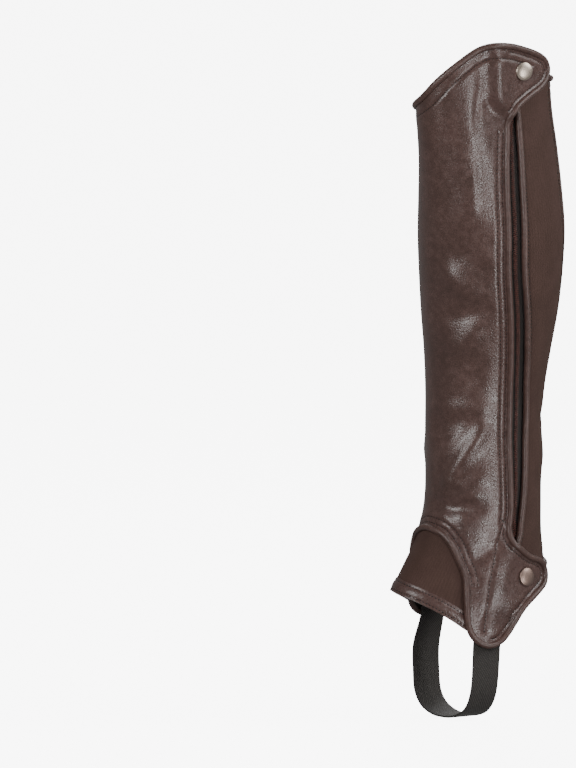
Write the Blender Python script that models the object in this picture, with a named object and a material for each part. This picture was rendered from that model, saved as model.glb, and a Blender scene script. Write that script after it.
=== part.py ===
"""A riding half chap for the left leg, closed, holding the hollow shape of the leg that wears it.

Leather panels are cut flat as outlines in two coordinates, the angle round the leg and the height,
and then wrapped onto the form of the leg as walls of even thickness. Lengths are in millimetres in the
tables and in metres in the meshes. +Z is up, -Y is the front of the leg and +X its outer side.
Angles run in degrees from the front of the leg towards its outer side. The origin is on the axis of
the tube at the widest level of the calf.
"""

import math

import bmesh
import bpy
import numpy as np
from mathutils import Matrix, Vector, geometry

MM = 0.001

# Walls, as distances out from the form of the leg
LEATHER = 1.8
OUTER_FACE = 0.0
INNER_FACE = OUTER_FACE - LEATHER
STRETCH_OUTER, STRETCH_INNER = -0.3, -1.7
SEAM_GAP = 0.3
LAYER_GAP = 0.3
LINING_OUTER, LINING_INNER = -2.7, -3.7
# The leather facings inside the top, and the parts of the top edge that they follow
FACING_WIDTH = 10.0
TOP_EDGE_FOOT, FRONT_FACING_ANGLE, INNER_FACING_FROM = 108.0, 56.5, -58.5
PATCH = 1.3

# The gusset lies deeper than the stretch panel, so that it runs clear of the arch
GUSSET_DROP = 0.6

# Rolled leather edges
EDGE_ROLL = 2.6
REAR_ROLL = 2.6
ROLL_LEVEL = 0.2
ROLL_SIDES = 8
ROLL_STEP = 14.0
BEND_STEP = 9.0

# How coarsely the panels are divided
GRID = 11.0
DEGREE_MM = 1.1

# The form of the leg: centre, half sizes and turn of an oval at each height
SECTION_COLUMNS = ("height", "centre_x", "centre_y", "half_width", "front", "back", "turn")
SECTIONS = (
    (-360, 0.0, -5.0, 42.0, 130.0, 56.0, 0),
    (-330, -1.0, -5.0, 42.0, 119.0, 55.0, 0),
    (-300, -2.0, -5.0, 41.0, 105.0, 54.5, 1),
    (-276, -3.2, -5.0, 40.2, 91.0, 54.5, 2),
    (-252, -4.6, -5.0, 39.8, 76.0, 54.5, 5),
    (-228, -4.6, -5.0, 40.5, 62.0, 52.5, 10),
    (-205, -4.5, -4.5, 41.0, 55.5, 53.0, 15),
    (-180, -5.5, -3.8, 41.0, 54.2, 54.0, 17),
    (-148, -7.5, -2.5, 41.0, 54.5, 54.5, 17),
    (-116, -7.5, -0.8, 42.5, 55.5, 55.5, 17),
    (-84, -6.0, 0.6, 46.0, 58.3, 58.3, 17),
    (-52, -4.0, 1.2, 50.0, 62.4, 62.4, 17),
    (-20, -2.0, 1.0, 51.5, 66.5, 66.5, 17),
    (12, 0.0, 0.0, 51.5, 69.5, 69.5, 17),
    (44, 2.0, -2.5, 47.0, 71.5, 71.5, 17),
    (76, 4.0, -6.0, 42.0, 72.5, 72.5, 17),
    (113, 5.0, -11.0, 38.5, 73.0, 73.0, 17),
    (190, 6.5, -16.0, 38.0, 74.0, 73.0, 17),
)

# The largest folds of the leather: soft ridges stand out and troughs sink in
FOLD_COLUMNS = ("angle", "height", "length", "lean", "breadth", "rise")
FOLDS = (
    (27, -164, 62, 42, 9, 1.8),
    (30, -186, 44, 8, 7, 1.0),
    (16, -203, 74, -2, 7, -1.8),
    (12, -140, 50, 6, 11, -1.5),
    (14, -45, 52, 6, 13, -1.2),
    (14, 4, 50, 8, 14, -1.0),
    (-75, -186, 56, -14, 9, -1.6),
    (-62, -168, 40, 24, 8, 1.3),
    (-120, -205, 60, 6, 9, -1.4),
    (-165, -190, 54, 0, 10, -1.5),
    (-150, -222, 56, -8, 8, 1.1),
    (137, -139, 44, 10, 5, -0.8),
    (137, -168, 52, 0, 16, 1.7),
)

# The zip: its middle and the gap between the rolled edges at each height
ZIP_COLUMNS = ("height", "angle", "gap")
ZIP = (
    (-276, 82.3, 0.8),
    (-262, 83.6, 0.8),
    (-250, 86.0, 0.8),
    (-240, 87.6, 1.2),
    (-229, 88.1, 4.2),
    (-213, 84.3, 7.7),
    (-182, 82.7, 12.0),
    (-138, 82.2, 14.5),
    (-105, 78.0, 12.8),
    (-40, 68.3, 11.1),
    (1, 66.1, 10.3),
    (43, 70.0, 11.1),
    (72, 74.4, 10.8),
    (96, 78.7, 8.2),
    (108, 81.3, 5.0),
    (118, 80.5, 6.0),
    (130, 78.0, 11.0),
    (143, 74.4, 12.0),
    (154, 73.4, 12.0),
)
ZIP_FOOT, ZIP_HEAD = -243.0, 145.0
# The heights over which the rolled edges follow the zip
FRONT_ZIP_EDGE, REAR_ZIP_EDGE = (-212.0, 92.0), (-275.0, 151.0)
# Each tape and its facing, as distances from the zip's middle
TAPE_INNER, TAPE_OUTER, FACING_INNER = 0.2, 16.0, 16.3
FRONT_FACING_OUTER, REAR_FACING_OUTER = 24.0, 22.0
SLIDER_FOOT, SLIDER_HEAD, SLIDER_WIDTH = 134.5, 148.0, 9.6
PLATE, PLATE_GAP = 1.2, 0.4
PULL_LENGTH, PULL_WIDTH = 18.0, 5.0

# Outlines, each a path of angle and height. Side seams first, from the top down
FRONT_SEAM = (
    (-57.3, 112), (-56.8, 77), (-56.4, 40), (-57.3, -6), (-57.9, -40), (-56.7, -91), (-55.2, -140),
    (-53, -184), (-57.5, -206), (-62, -224), (-66.4, -244), (-66.5, -256), (-60, -269),
)
BACK_SEAM = (
    (132, 133), (132, 110), (131.5, 83), (128, 51), (125, 20), (126.5, -12), (132, -50),
    (138, -100), (140, -160), (140, -210), (140, -258.5),
)
# The front panel's rolled edge: over the top, round the upper tab to the head of the zip
TOP_AND_TAB = (
    (-56.8, 112), (-37, 116), (-15, 121.5), (0, 128), (18, 140), (38, 153), (52, 161.5),
    (64, 165.8), (78, 164.5), (90, 160.5), (100, 156), (106.5, 151.5), (110, 145.5), (109.5, 139.5),
    (106, 133.5), (100.5, 129), (93, 124.5), (86, 120), (80.3, 115.5), (76.3, 109.5), (74.2, 102),
)
# then, below the zip, the lower tab, the outer tongue, the arch and the inner half of the arch
LOWER_TAB_AND_ARCH = (
    (78.8, -221), (80.4, -229), (83.6, -235.3), (88.8, -239.8), (95, -244.3), (101.5, -248),
    (108.5, -250.4), (115.5, -253), (121.5, -258), (124, -264.5), (122, -270.5), (116, -274.5),
    (108.5, -278.7), (100, -284.4), (94, -290.8), (90, -298), (87, -306.3), (83, -313.5),
    (78, -316.5), (73.5, -314.2), (69.3, -308.5), (66.3, -301), (64.4, -293), (62, -279.7),
    (58.3, -264.5), (52.5, -254), (40.8, -241.2), (29.5, -232.6), (18, -226.6), (5, -223.6),
    (-8.5, -222.5), (-22, -225.3), (-36, -231.5), (-46.5, -243), (-53.4, -255), (-58, -263), (-59.6, -269),
)
TOP_BACK = (
    (-57.9, 112), (-71, 111.5), (-90, 113.5), (-117, 119), (-149, 126), (-168, 130), (-185, 131.5),
    (-205, 131.8), (-227.3, 132.9),
)
INNER_HEM = (
    (-59.8, -270), (-60.5, -282.3), (-64.3, -291), (-70, -296.6), (-75.6, -298.5), (-80, -296.2),
    (-85, -287.5), (-90.5, -277), (-99, -269.3), (-109.2, -264), (-122, -259.8), (-136.6, -256.8),
    (-155, -255), (-175, -254.8), (-200, -256.5), (-218.8, -258.4),
)
REAR_TOP = (
    (84, 154), (92, 154), (100, 152.6), (108, 150), (115, 146.5), (121, 142.5), (126.5, 137.5),
    (131.4, 132.7),
)
# The rolls along the stretch panel's top and foot end short of the rolls that they meet
TOP_BINDING_ANGLES, HEM_BINDING_FROM = (85.5, 130.0), 90.5
REAR_HEM = ((86.3, -277.4), (92, -276.8), (100, -275), (110, -270.8), (125, -263.6), (139.6, -258.5))
BAND_TOP = (
    (69, -294), (59.4, -285.3), (49.8, -278.6), (41.8, -274.2), (30.5, -269.5), (17.6, -265.8), (5, -263.5),
    (-8, -262.2), (-25, -263), (-38, -265.8), (-52, -270.8), (-63, -276.5),
)
BAND_DEPTH = 12.0
# Where the arch over the instep begins and ends, and the parts of it where the band ends
ARCH_FOOT, INNER_ARCH_FOOT, INNER_ARCH_ANGLE = -306.0, -291.0, -66.0
OUTER_BAND_END, INNER_BAND_END = 50.0, -40.0
PATCH_EDGE = (
    (-119, 68), (-105, 65.5), (-95, 56.5), (-87, 41), (-82, 14), (-81, -20), (-83, -73), (-87.5, -116),
    (-94.5, -157), (-104, -177), (-117, -187), (-131, -188), (-143, -181), (-151, -162), (-155, -130),
    (-156, -73), (-156, -20), (-157, 20), (-154.5, 46), (-146, 60), (-133, 67),
)

# The strap under the foot: where it is sewn inside each tongue, and its free middle line between them
STRAP_WIDTH, STRAP = 25.0, 1.6
OUTER_SEAT = ((77.5, -293, -3.1), (77.5, -304, -3.5), (77.5, -316, -3.6))
INNER_SEAT = ((-75.5, -301, -3.6), (-75.5, -290, -3.5), (-75.5, -279, -3.1))
STRAP_COLUMNS = ("x", "y", "z")
STRAP_ROUTE = (
    (37.6, -32.0, -345), (34.5, -33.0, -360), (27.0, -34.0, -370), (14.0, -35.0, -375.2),
    (0.0, -35.5, -376.4), (-14.0, -36.0, -375.2), (-28.0, -36.0, -370), (-36.5, -36.0, -360),
    (-40.3, -35.0, -345), (-41.8, -34.0, -324),
)

# The two tabs stand off the zip: how far, over what run of degrees, and how much more at the upper tab's end
TAB_LIFT, TAB_RUN, TAB_FLARE = 5.8, 16.0, 0.6
FLARE_ANGLES = (80.0, 112.0)
# The angle where each lift begins, high up and low down, and the heights between which it moves
UPPER_START, UPPER_TURN = (53.0, 68.0), (128.0, 102.0)
LOWER_START, LOWER_TURN = (73.5, 51.0), (-230.0, -256.0)
LOWER_RUN = (TAB_RUN, 34.0)
# The heights between which each lift comes in, and for the lower tab goes out again
UPPER_FADE = (98.0, 110.0)
LOWER_FADE, LOWER_END = (-220.0, -232.0), (-308.0, -280.0)

# Snaps: where they are, and the sizes of the cap, the stud and the ring
TOP_SNAP = (86.8, 143.8)
FOOT_SNAP = (98.0, -264.0)
CAP_RADIUS, CAP_SEAT, CAP_RIM, CAP_HEIGHT = 7.4, 0.8, 0.8, 2.0
STUD_RADIUS, STUD_CLEARANCE = 4.4, 0.4
RING_RADIUS, RING_HOLE, RING, RING_CLEARANCE = 5.4, 1.9, 1.0, 0.8
DISC_SIDES = 20

COLOURS = {
    "leather": (0.088, 0.050, 0.042, 0.42, 0.0),
    "piping": (0.080, 0.046, 0.040, 0.38, 0.0),
    "stretch": (0.065, 0.040, 0.032, 0.85, 0.0),
    "tape": (0.024, 0.022, 0.021, 0.9, 0.0),
    "metal": (0.42, 0.38, 0.34, 0.35, 1.0),
}


def smooth_step(x):
    x = min(max(x, 0.0), 1.0)
    return x * x * (3.0 - 2.0 * x)


def ease(x, start, end):
    """From nought to one, softly, as x goes from start to end."""
    return smooth_step((x - start) / (end - start))


def between(pair, share):
    return pair[0] + (pair[1] - pair[0]) * share


def through(knots, x):
    """The rows of a table read at x by smooth interpolation; the first column rises."""
    places = [row[0] for row in knots]
    i = min(max(int(np.searchsorted(places, x)) - 1, 0), len(knots) - 2)
    span = places[i + 1] - places[i]
    t = (x - places[i]) / span

    def slope(k, column):
        a, b = knots[max(k - 1, 0)], knots[min(k + 1, len(knots) - 1)]
        return (b[column] - a[column]) / (b[0] - a[0]) * span

    t2, t3 = t * t, t * t * t
    return [
        (2 * t3 - 3 * t2 + 1) * knots[i][c]
        + (t3 - 2 * t2 + t) * slope(i, c)
        + (3 * t2 - 2 * t3) * knots[i + 1][c]
        + (t3 - t2) * slope(i + 1, c)
        for c in range(1, len(knots[0]))
    ]


def relief(angle, height):
    """How far the folds move the leather out at this place."""
    out = 0.0
    for fold_angle, fold_height, length, lean, breadth, rise in FOLDS:
        across = (angle - fold_angle + 180) % 360 - 180
        u, v = across * DEGREE_MM, height - fold_height
        turn = math.radians(lean)
        along = u * math.cos(turn) + v * math.sin(turn)
        aside = v * math.cos(turn) - u * math.sin(turn)
        out += rise * math.exp(-((aside / breadth) ** 2)) * smooth_step(1.5 - abs(along) / (length / 2))
    return out


def oval(angle, height):
    centre_x, centre_y, half_width, front, back, turn = through(SECTIONS, height)
    a, t = math.radians(angle), math.radians(turn)
    ahead = (front if math.cos(a) > 0 else back) * math.cos(a)
    outward = half_width * math.sin(a)
    return np.array(
        (
            centre_x + ahead * math.sin(t) + outward * math.cos(t),
            centre_y - ahead * math.cos(t) + outward * math.sin(t),
            height,
        )
    )


def directions(angle, height):
    """The steps on the form for one degree and for one millimetre up, and the way out."""
    round_it = oval(angle + 0.5, height) - oval(angle - 0.5, height)
    up = (oval(angle, height + 1.0) - oval(angle, height - 1.0)) / 2
    out = np.cross(round_it, up)
    return round_it, up, out / np.linalg.norm(out)


def leg_point(angle, height, out=0.0):
    return oval(angle, height) + (out + relief(angle, height)) * directions(angle, height)[2]


def tab_lift(angle, height):
    """How far the front panel stands off the zip where its two tabs cross it."""
    if height > 0:
        start = between(UPPER_START, ease(height, *UPPER_TURN))
        run = TAB_RUN
        share = ease(height, *UPPER_FADE) * (1.0 + TAB_FLARE * ease(angle, *FLARE_ANGLES))
    else:
        low = ease(height, *LOWER_TURN)
        start = between(LOWER_START, low)
        run = between(LOWER_RUN, low)
        share = ease(height, *LOWER_FADE) * ease(height, *LOWER_END)
    return TAB_LIFT * share * smooth_step((angle - start) / run)


def flat(angle, height):
    return 0.0


def smooth_path(points, bend=BEND_STEP, longest=ROLL_STEP):
    """A smooth curve through the points of a table, with more points where it bends."""
    points = [np.array(p, float) for p in points]
    dense = []
    for i in range(len(points) - 1):
        before = points[i - 1] if i else 2 * points[0] - points[1]
        after = points[i + 2] if i + 2 < len(points) else 2 * points[-1] - points[-2]
        a, b = points[i], points[i + 1]
        for k in range(12):
            t = k / 12
            square = (2 * before - 5 * a + 4 * b - after) * t**2
            cube = (3 * a - before - 3 * b + after) * t**3
            dense.append(0.5 * (2 * a + (b - before) * t + square + cube))
    dense.append(points[-1])
    kept, length, turned = [dense[0]], 0.0, 0.0
    for i in range(1, len(dense) - 1):
        step, ahead = dense[i] - dense[i - 1], dense[i + 1] - dense[i]
        length += math.hypot(*step)
        turned += math.degrees(abs(math.atan2(step[0] * ahead[1] - step[1] * ahead[0], step @ ahead)))
        if (length > longest or turned > bend) and length > 2.0:
            kept.append(dense[i])
            length = turned = 0.0
    if math.hypot(*(dense[-1] - kept[-1])) < 2.0:
        kept.pop()
    kept.append(dense[-1])
    return kept


def aside(path, distance):
    """The path moved sideways over the form, to its left for a distance above nought."""
    moved = []
    for i, (angle, height) in enumerate(path):
        round_it, up, out = directions(angle, height)
        ahead = path[min(i + 1, len(path) - 1)] - path[max(i - 1, 0)]
        along = ahead[0] * round_it + ahead[1] * up
        side = np.cross(out, along / np.linalg.norm(along)) * distance
        step = np.linalg.lstsq(np.stack((round_it, up), axis=1), side, rcond=None)[0]
        moved.append(np.array((angle, height)) + step)
    return moved


def along_zip(low, high, distance, step=11.0):
    """A line beside the zip's middle, from low to high, at a distance that may follow the gap's width."""
    count = max(2, round((high - low) / step) + 1)
    line = []
    for height in np.linspace(low, high, count):
        angle, gap = through(ZIP, height)
        off = distance(gap) if callable(distance) else distance
        line.append(np.array((angle + off / np.linalg.norm(directions(angle, height)[0]), height)))
    return line


def crossing(a, b):
    """Where two paths first meet on the way back from the end of a: a place on each, and the point."""
    for i in range(len(a) - 2, -1, -1):
        for j in range(len(b) - 1):
            p, r, q, s = a[i], a[i + 1] - a[i], b[j], b[j + 1] - b[j]
            area = r[0] * s[1] - r[1] * s[0]
            if abs(area) < 1e-9:
                continue
            t = ((q[0] - p[0]) * s[1] - (q[1] - p[1]) * s[0]) / area
            u = ((q[0] - p[0]) * r[1] - (q[1] - p[1]) * r[0]) / area
            if 0 <= t <= 1 and 0 <= u <= 1:
                return i, j, p + r * t
    return None


def longer(path, by=8.0):
    """The path with both ends run on a little, so that it meets its neighbours."""
    ends = []
    for end, before in ((path[0], path[1]), (path[-1], path[-2])):
        run = end - before
        ends.append(end + run / np.hypot(*run) * by)
    return [ends[0], *path[1:-1], ends[1]]


def closed_outline(paths):
    """One loop from paths that follow each other, each cut off where it meets the next."""
    paths = [longer(path) for path in paths]
    for k in range(len(paths)):
        n = (k + 1) % len(paths)
        found = crossing(paths[k], paths[n])
        if found is None:
            raise ValueError(f"side {k} of an outline doesn't meet the next")
        i, j, corner = found
        paths[k] = [*paths[k][: i + 1], corner]
        paths[n] = [corner, *paths[n][j + 1 :]]
    loop = []
    for path in paths:
        for point in path[:-1]:
            if not loop or np.hypot(*(point - loop[-1])) > 0.3:
                loop.append(point)
    return loop


def inside(point, loop):
    hit, last = False, loop[-1]
    for here in loop:
        if (here[1] > point[1]) != (last[1] > point[1]):
            crossing = (last[0] - here[0]) * (point[1] - here[1]) / (last[1] - here[1]) + here[0]
            hit ^= point[0] < crossing
        last = here
    return hit


def distance_to(point, loop):
    ends = np.array(loop)
    starts = np.roll(ends, 1, axis=0)
    run = ends - starts
    share = ((point - starts) * run).sum(1) / np.maximum((run * run).sum(1), 1e-12)
    nearest = starts + np.clip(share, 0, 1)[:, None] * run
    return np.hypot(*(nearest - point).T).min()


def cut(outline, inner_loops=(), grid=GRID):
    """A panel's flat pattern: its points as angle and height, and its triangles."""
    scale = np.array((DEGREE_MM, 1.0))
    loops = [[np.array(p) * scale for p in loop] for loop in (outline, *inner_loops)]
    points, edges = [], []
    for loop in loops:
        first = len(points)
        points += loop
        edges += [(first + i, first + (i + 1) % len(loop)) for i in range(len(loop))]
    low, high = np.min(loops[0], axis=0), np.max(loops[0], axis=0)
    for row, y in enumerate(np.arange(low[1] + grid / 2, high[1], grid * 0.9)):
        for x in np.arange(low[0] + (row % 2) * grid / 2, high[0], grid):
            spot = np.array((x, y))
            if inside(spot, loops[0]) and min(distance_to(spot, loop) for loop in loops) > 0.45 * grid:
                points.append(spot)
    found = geometry.delaunay_2d_cdt([Vector(p) for p in points], edges, [], 0, 1e-5)
    spots = [np.array(p) / scale for p in found[0]]
    triangles = [tri for tri in found[2] if inside(sum(np.array(found[0][i]) for i in tri) / 3, loops[0])]
    return spots, triangles


def within(pattern, loop):
    """The part of a panel's pattern that lies inside a loop."""
    spots, triangles = pattern
    return spots, [tri for tri in triangles if inside(sum(spots[i] for i in tri) / 3, loop)]


def new_object(name, mesh, material):
    mesh.materials.append(material)
    piece = bpy.data.objects.new(name, mesh)
    bpy.context.collection.objects.link(piece)
    for face in mesh.polygons:
        face.use_smooth = True
    mesh.set_sharp_from_angle(angle=math.radians(40))
    return piece


def mesh_of(name, points, faces):
    mesh = bpy.data.meshes.new(name)
    mesh.from_pydata([tuple(p * MM) for p in points], [], faces)
    mesh.validate()
    mesh.update()
    return mesh


def wall(name, pattern, low, high, material, lift=flat):
    """Wraps a flat pattern onto the leg as a closed wall between two distances out."""
    spots, triangles = pattern
    used = sorted({i for tri in triangles for i in tri})
    place = {spot: k for k, spot in enumerate(used)}
    count = len(used)
    lifts = [lift(*spots[i]) for i in used]
    points = [leg_point(*spots[i], high + lifts[k]) for k, i in enumerate(used)]
    points += [leg_point(*spots[i], low + lifts[k]) for k, i in enumerate(used)]
    faces, rim = [], {}
    for tri in triangles:
        a, b, c = (place[i] for i in tri)
        (ax, ay), (bx, by), (cx, cy) = (spots[i] for i in tri)
        if (bx - ax) * (cy - ay) - (by - ay) * (cx - ax) < 0:
            b, c = c, b
        faces += [(a, b, c), (c + count, b + count, a + count)]
        for start, end in ((a, b), (b, c), (c, a)):
            if (end, start) in rim:
                del rim[(end, start)]
            else:
                rim[(start, end)] = True
    faces += [(b, a, a + count, b + count) for a, b in rim]
    return new_object(name, mesh_of(name, points, faces), material)


def ribbon(name, left, right, low, high, material, lift=flat, across=2):
    """A strip between two paths of the same number of points, as a wall on the leg."""
    rows = len(left)
    spots = [
        left[i] + (right[i] - left[i]) * (j / across) for i in range(rows) for j in range(across + 1)
    ]
    triangles = []
    for i in range(rows - 1):
        for j in range(across):
            a = i * (across + 1) + j
            b = a + across + 1
            triangles += [(a, a + 1, b + 1), (a, b + 1, b)]
    return wall(name, (spots, triangles), low, high, material, lift)


def tube(name, centres, radius, material, sides=ROLL_SIDES):
    """A round roll along a line of points, closed at both ends."""
    centres = [np.array(c, float) for c in centres]
    count = len(centres)
    ahead = [centres[min(i + 1, count - 1)] - centres[max(i - 1, 0)] for i in range(count)]
    ahead = [a / np.linalg.norm(a) for a in ahead]
    side = np.cross(ahead[0], (0.3, 0.5, 0.8))
    points = []
    for centre, run in zip(centres, ahead):
        side = side - (side @ run) * run
        side /= np.linalg.norm(side)
        other = np.cross(run, side)
        for k in range(sides):
            turn = 2 * math.pi * k / sides
            points.append(centre + radius * (math.cos(turn) * side + math.sin(turn) * other))
    faces = []
    for i in range(count - 1):
        for k in range(sides):
            a, b = i * sides + k, i * sides + (k + 1) % sides
            faces.append((a, b, b + sides, a + sides))
    faces.append(tuple(range(sides))[::-1])
    faces.append(tuple((count - 1) * sides + k for k in range(sides)))
    return new_object(name, mesh_of(name, points, faces), material)


def roll(name, path, radius, material, lift=flat, level=ROLL_LEVEL):
    return tube(name, [leg_point(a, h, level + lift(a, h)) for a, h in path], radius, material)


def disc(name, spot, low, high, radius, material, dome=0.0, hole=0.0):
    """A round metal piece on the leg, turned from a short profile about the way out."""
    angle, height = spot
    centre, out = oval(angle, height), directions(angle, height)[2]
    rim = (high - low) * 0.45
    profile = [(hole, low), (radius, low), (radius, low + rim), (radius * 0.9, high)]
    profile += [(radius * 0.5, high + dome * 0.75), (hole, high + dome)] if dome else [(hole, high)]
    turns = [2 * math.pi * k / DISC_SIDES for k in range(DISC_SIDES)]
    mesh = bmesh.new()
    rings = []
    for r, z in profile:
        if r:
            ring = [mesh.verts.new((r * math.cos(turn), r * math.sin(turn), z)) for turn in turns]
        else:
            ring = [mesh.verts.new((0, 0, z))]
        rings.append(ring)
    if hole:
        rings.append(rings[0])
    for a, b in zip(rings, rings[1:]):
        for k in range(DISC_SIDES):
            n = (k + 1) % DISC_SIDES
            corners = [a[k % len(a)], a[n % len(a)], b[n % len(b)], b[k % len(b)]]
            mesh.faces.new(list(dict.fromkeys(corners)))
    bmesh.ops.recalc_face_normals(mesh, faces=mesh.faces)
    turn = Vector(out).to_track_quat("Z", "Y").to_matrix().to_4x4()
    mesh.transform(Matrix.Scale(MM, 4) @ Matrix.Translation(Vector(centre)) @ turn)
    data = bpy.data.meshes.new(name)
    mesh.to_mesh(data)
    mesh.free()
    return new_object(name, data, material)


def solid_of_rows(name, rows, material):
    """A closed body from equal rows of points: each row a ring, the first and last filled in."""
    size = len(rows[0])
    points = [p for row in rows for p in row]
    faces = []
    for i in range(len(rows) - 1):
        for k in range(size):
            a, b = i * size + k, i * size + (k + 1) % size
            faces.append((a, b, b + size, a + size))
    faces.append(tuple(range(size))[::-1])
    faces.append(tuple((len(rows) - 1) * size + k for k in range(size)))
    data = mesh_of(name, points, faces)
    mesh = bmesh.new()
    mesh.from_mesh(data)
    bmesh.ops.recalc_face_normals(mesh, faces=mesh.faces)
    bmesh.ops.triangulate(mesh, faces=[f for f in mesh.faces if len(f.verts) > 4])
    mesh.to_mesh(data)
    mesh.free()
    return new_object(name, data, material)


def small_part(name, angle, foot, profile, width, material):
    """A metal part extruded across the zip from a profile of height above its foot and distance out."""
    centre = oval(angle, foot)
    round_it, up, out = directions(angle, foot)
    across = round_it / np.linalg.norm(round_it) * width / 2
    up = up / np.linalg.norm(up)
    rows = [[centre + side * across + up * h + out * o for h, o in profile] for side in (-1, 1)]
    return solid_of_rows(name, rows, material)


def foot_strap(material):
    """A band of elastic, sewn inside the outer tongue and inside the inner one, that goes under the foot."""
    places = [k * STRAP_WIDTH / 4 for k in (-2, -1, 0, 1, 2)]

    def seat(angle, height, out):
        step = math.copysign(1.0, angle) / np.linalg.norm(directions(angle, height)[0])
        upper = [leg_point(angle + w * step, height, out + STRAP / 2) for w in places]
        lower = [leg_point(angle + w * step, height, out - STRAP / 2) for w in places]
        return upper + lower[::-1]

    free = [np.array(p, float) for p in STRAP_ROUTE]
    ends = [leg_point(*OUTER_SEAT[-1]), leg_point(*INNER_SEAT[0])]
    route = [ends[0], *free, ends[1]]
    rows = [seat(*spot) for spot in OUTER_SEAT]
    for i, middle in enumerate(free):
        run = route[i + 2] - route[i]
        wide = np.array((0.0, 1.0, 0.0))
        wide = wide - run * (wide @ run) / (run @ run)
        wide /= np.linalg.norm(wide)
        thick = np.cross(run, wide)
        thick *= STRAP / 2 / np.linalg.norm(thick)
        upper = [middle + w * wide + thick for w in places]
        lower = [middle + w * wide - thick for w in places]
        rows.append(upper + lower[::-1])
    rows += [seat(*spot) for spot in INNER_SEAT]
    return solid_of_rows("foot_strap", rows, material)


def material(name):
    red, green, blue, roughness, metallic = COLOURS[name]
    made = bpy.data.materials.new(name)
    made.use_nodes = True
    shader = made.node_tree.nodes["Principled BSDF"]
    shader.inputs["Base Color"].default_value = (red, green, blue, 1)
    shader.inputs["Roughness"].default_value = roughness
    shader.inputs["Metallic"].default_value = metallic
    made.diffuse_color = (red, green, blue, 1)
    return made


def shell_pieces(leather, piping, stretch):
    """The panels of the tube and their rolled edges; gives back the three edges that other pieces follow."""
    gap = EDGE_ROLL + SEAM_GAP
    rear_gap = REAR_ROLL + SEAM_GAP
    half = SEAM_GAP / 2
    zip_edge = along_zip(*FRONT_ZIP_EDGE, lambda opening: -opening / 2 - EDGE_ROLL)[::-1]
    edge = smooth_path([*TOP_AND_TAB, *[tuple(p) for p in zip_edge], *LOWER_TAB_AND_ARCH])
    front_seam, back_seam = smooth_path(FRONT_SEAM), smooth_path(BACK_SEAM)
    top, hem = smooth_path(TOP_BACK), smooth_path(INNER_HEM)

    front = closed_outline([aside(edge, -gap), aside(front_seam, half)[::-1]])
    wall("front_panel", cut(front), INNER_FACE, OUTER_FACE, leather, tab_lift)
    roll("front_edge_roll", edge, EDGE_ROLL, piping, tab_lift)

    turned = [p - np.array((360.0, 0.0)) for p in back_seam]
    inner = closed_outline(
        [aside(top, gap), aside(turned, half), aside(hem, -gap)[::-1], aside(front_seam, -half)[::-1]]
    )
    patch_loop = smooth_path([*PATCH_EDGE, PATCH_EDGE[0]])[:-1]
    pattern = cut(inner, [patch_loop])
    wall("inner_panel", pattern, INNER_FACE, OUTER_FACE, leather)
    patch_inner = OUTER_FACE + LAYER_GAP
    wall("grip_patch", within(pattern, patch_loop), patch_inner, patch_inner + PATCH, leather)
    roll("top_edge_roll", top, EDGE_ROLL, piping)
    roll("hem_edge_roll", hem, EDGE_ROLL, piping)

    rear_top, rear_hem = smooth_path(REAR_TOP), smooth_path(REAR_HEM)
    rear_edge = along_zip(*REAR_ZIP_EDGE, lambda opening: opening / 2 + REAR_ROLL, step=9.0)
    rear_sides = [aside(rear_top, -gap), aside(back_seam, -half), aside(rear_hem, gap)[::-1]]
    rear = closed_outline([*rear_sides, aside(rear_edge, -rear_gap)])
    wall("stretch_panel", cut(rear), STRETCH_INNER, STRETCH_OUTER, stretch)
    roll("rear_edge_roll", rear_edge, REAR_ROLL, piping)
    top_from, top_to = TOP_BINDING_ANGLES
    roll("stretch_top_binding", [p for p in rear_top if top_from < p[0] < top_to], EDGE_ROLL, piping)
    roll("stretch_hem_binding", [p for p in rear_hem if p[0] > HEM_BINDING_FROM], EDGE_ROLL, piping)
    return edge, hem, top


def instep_pieces(edge, hem, leather, stretch):
    """The stretch gusset over the instep and the leather band along its foot."""
    start = max(i for i, (_, height) in enumerate(edge) if height < ARCH_FOOT)
    inner_side = [p for p in hem if p[1] > INNER_ARCH_FOOT and p[0] > INNER_ARCH_ANGLE]
    arch = aside([*edge[start:-1], *inner_side], EDGE_ROLL + SEAM_GAP)
    band = smooth_path(BAND_TOP)
    gusset = closed_outline([arch, aside(band, -SEAM_GAP / 2)[::-1]])
    wall("instep_gusset", cut(gusset), STRETCH_INNER - GUSSET_DROP, STRETCH_OUTER - GUSSET_DROP, stretch)
    outer_end = [p for p in arch if p[0] > OUTER_BAND_END]
    inner_end = [p for p in arch if p[0] < INNER_BAND_END]
    strip = closed_outline([outer_end, aside(band, SEAM_GAP / 2), inner_end, aside(band, BAND_DEPTH)[::-1]])
    wall("instep_band", cut(strip), INNER_FACE, OUTER_FACE, leather)


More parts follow.
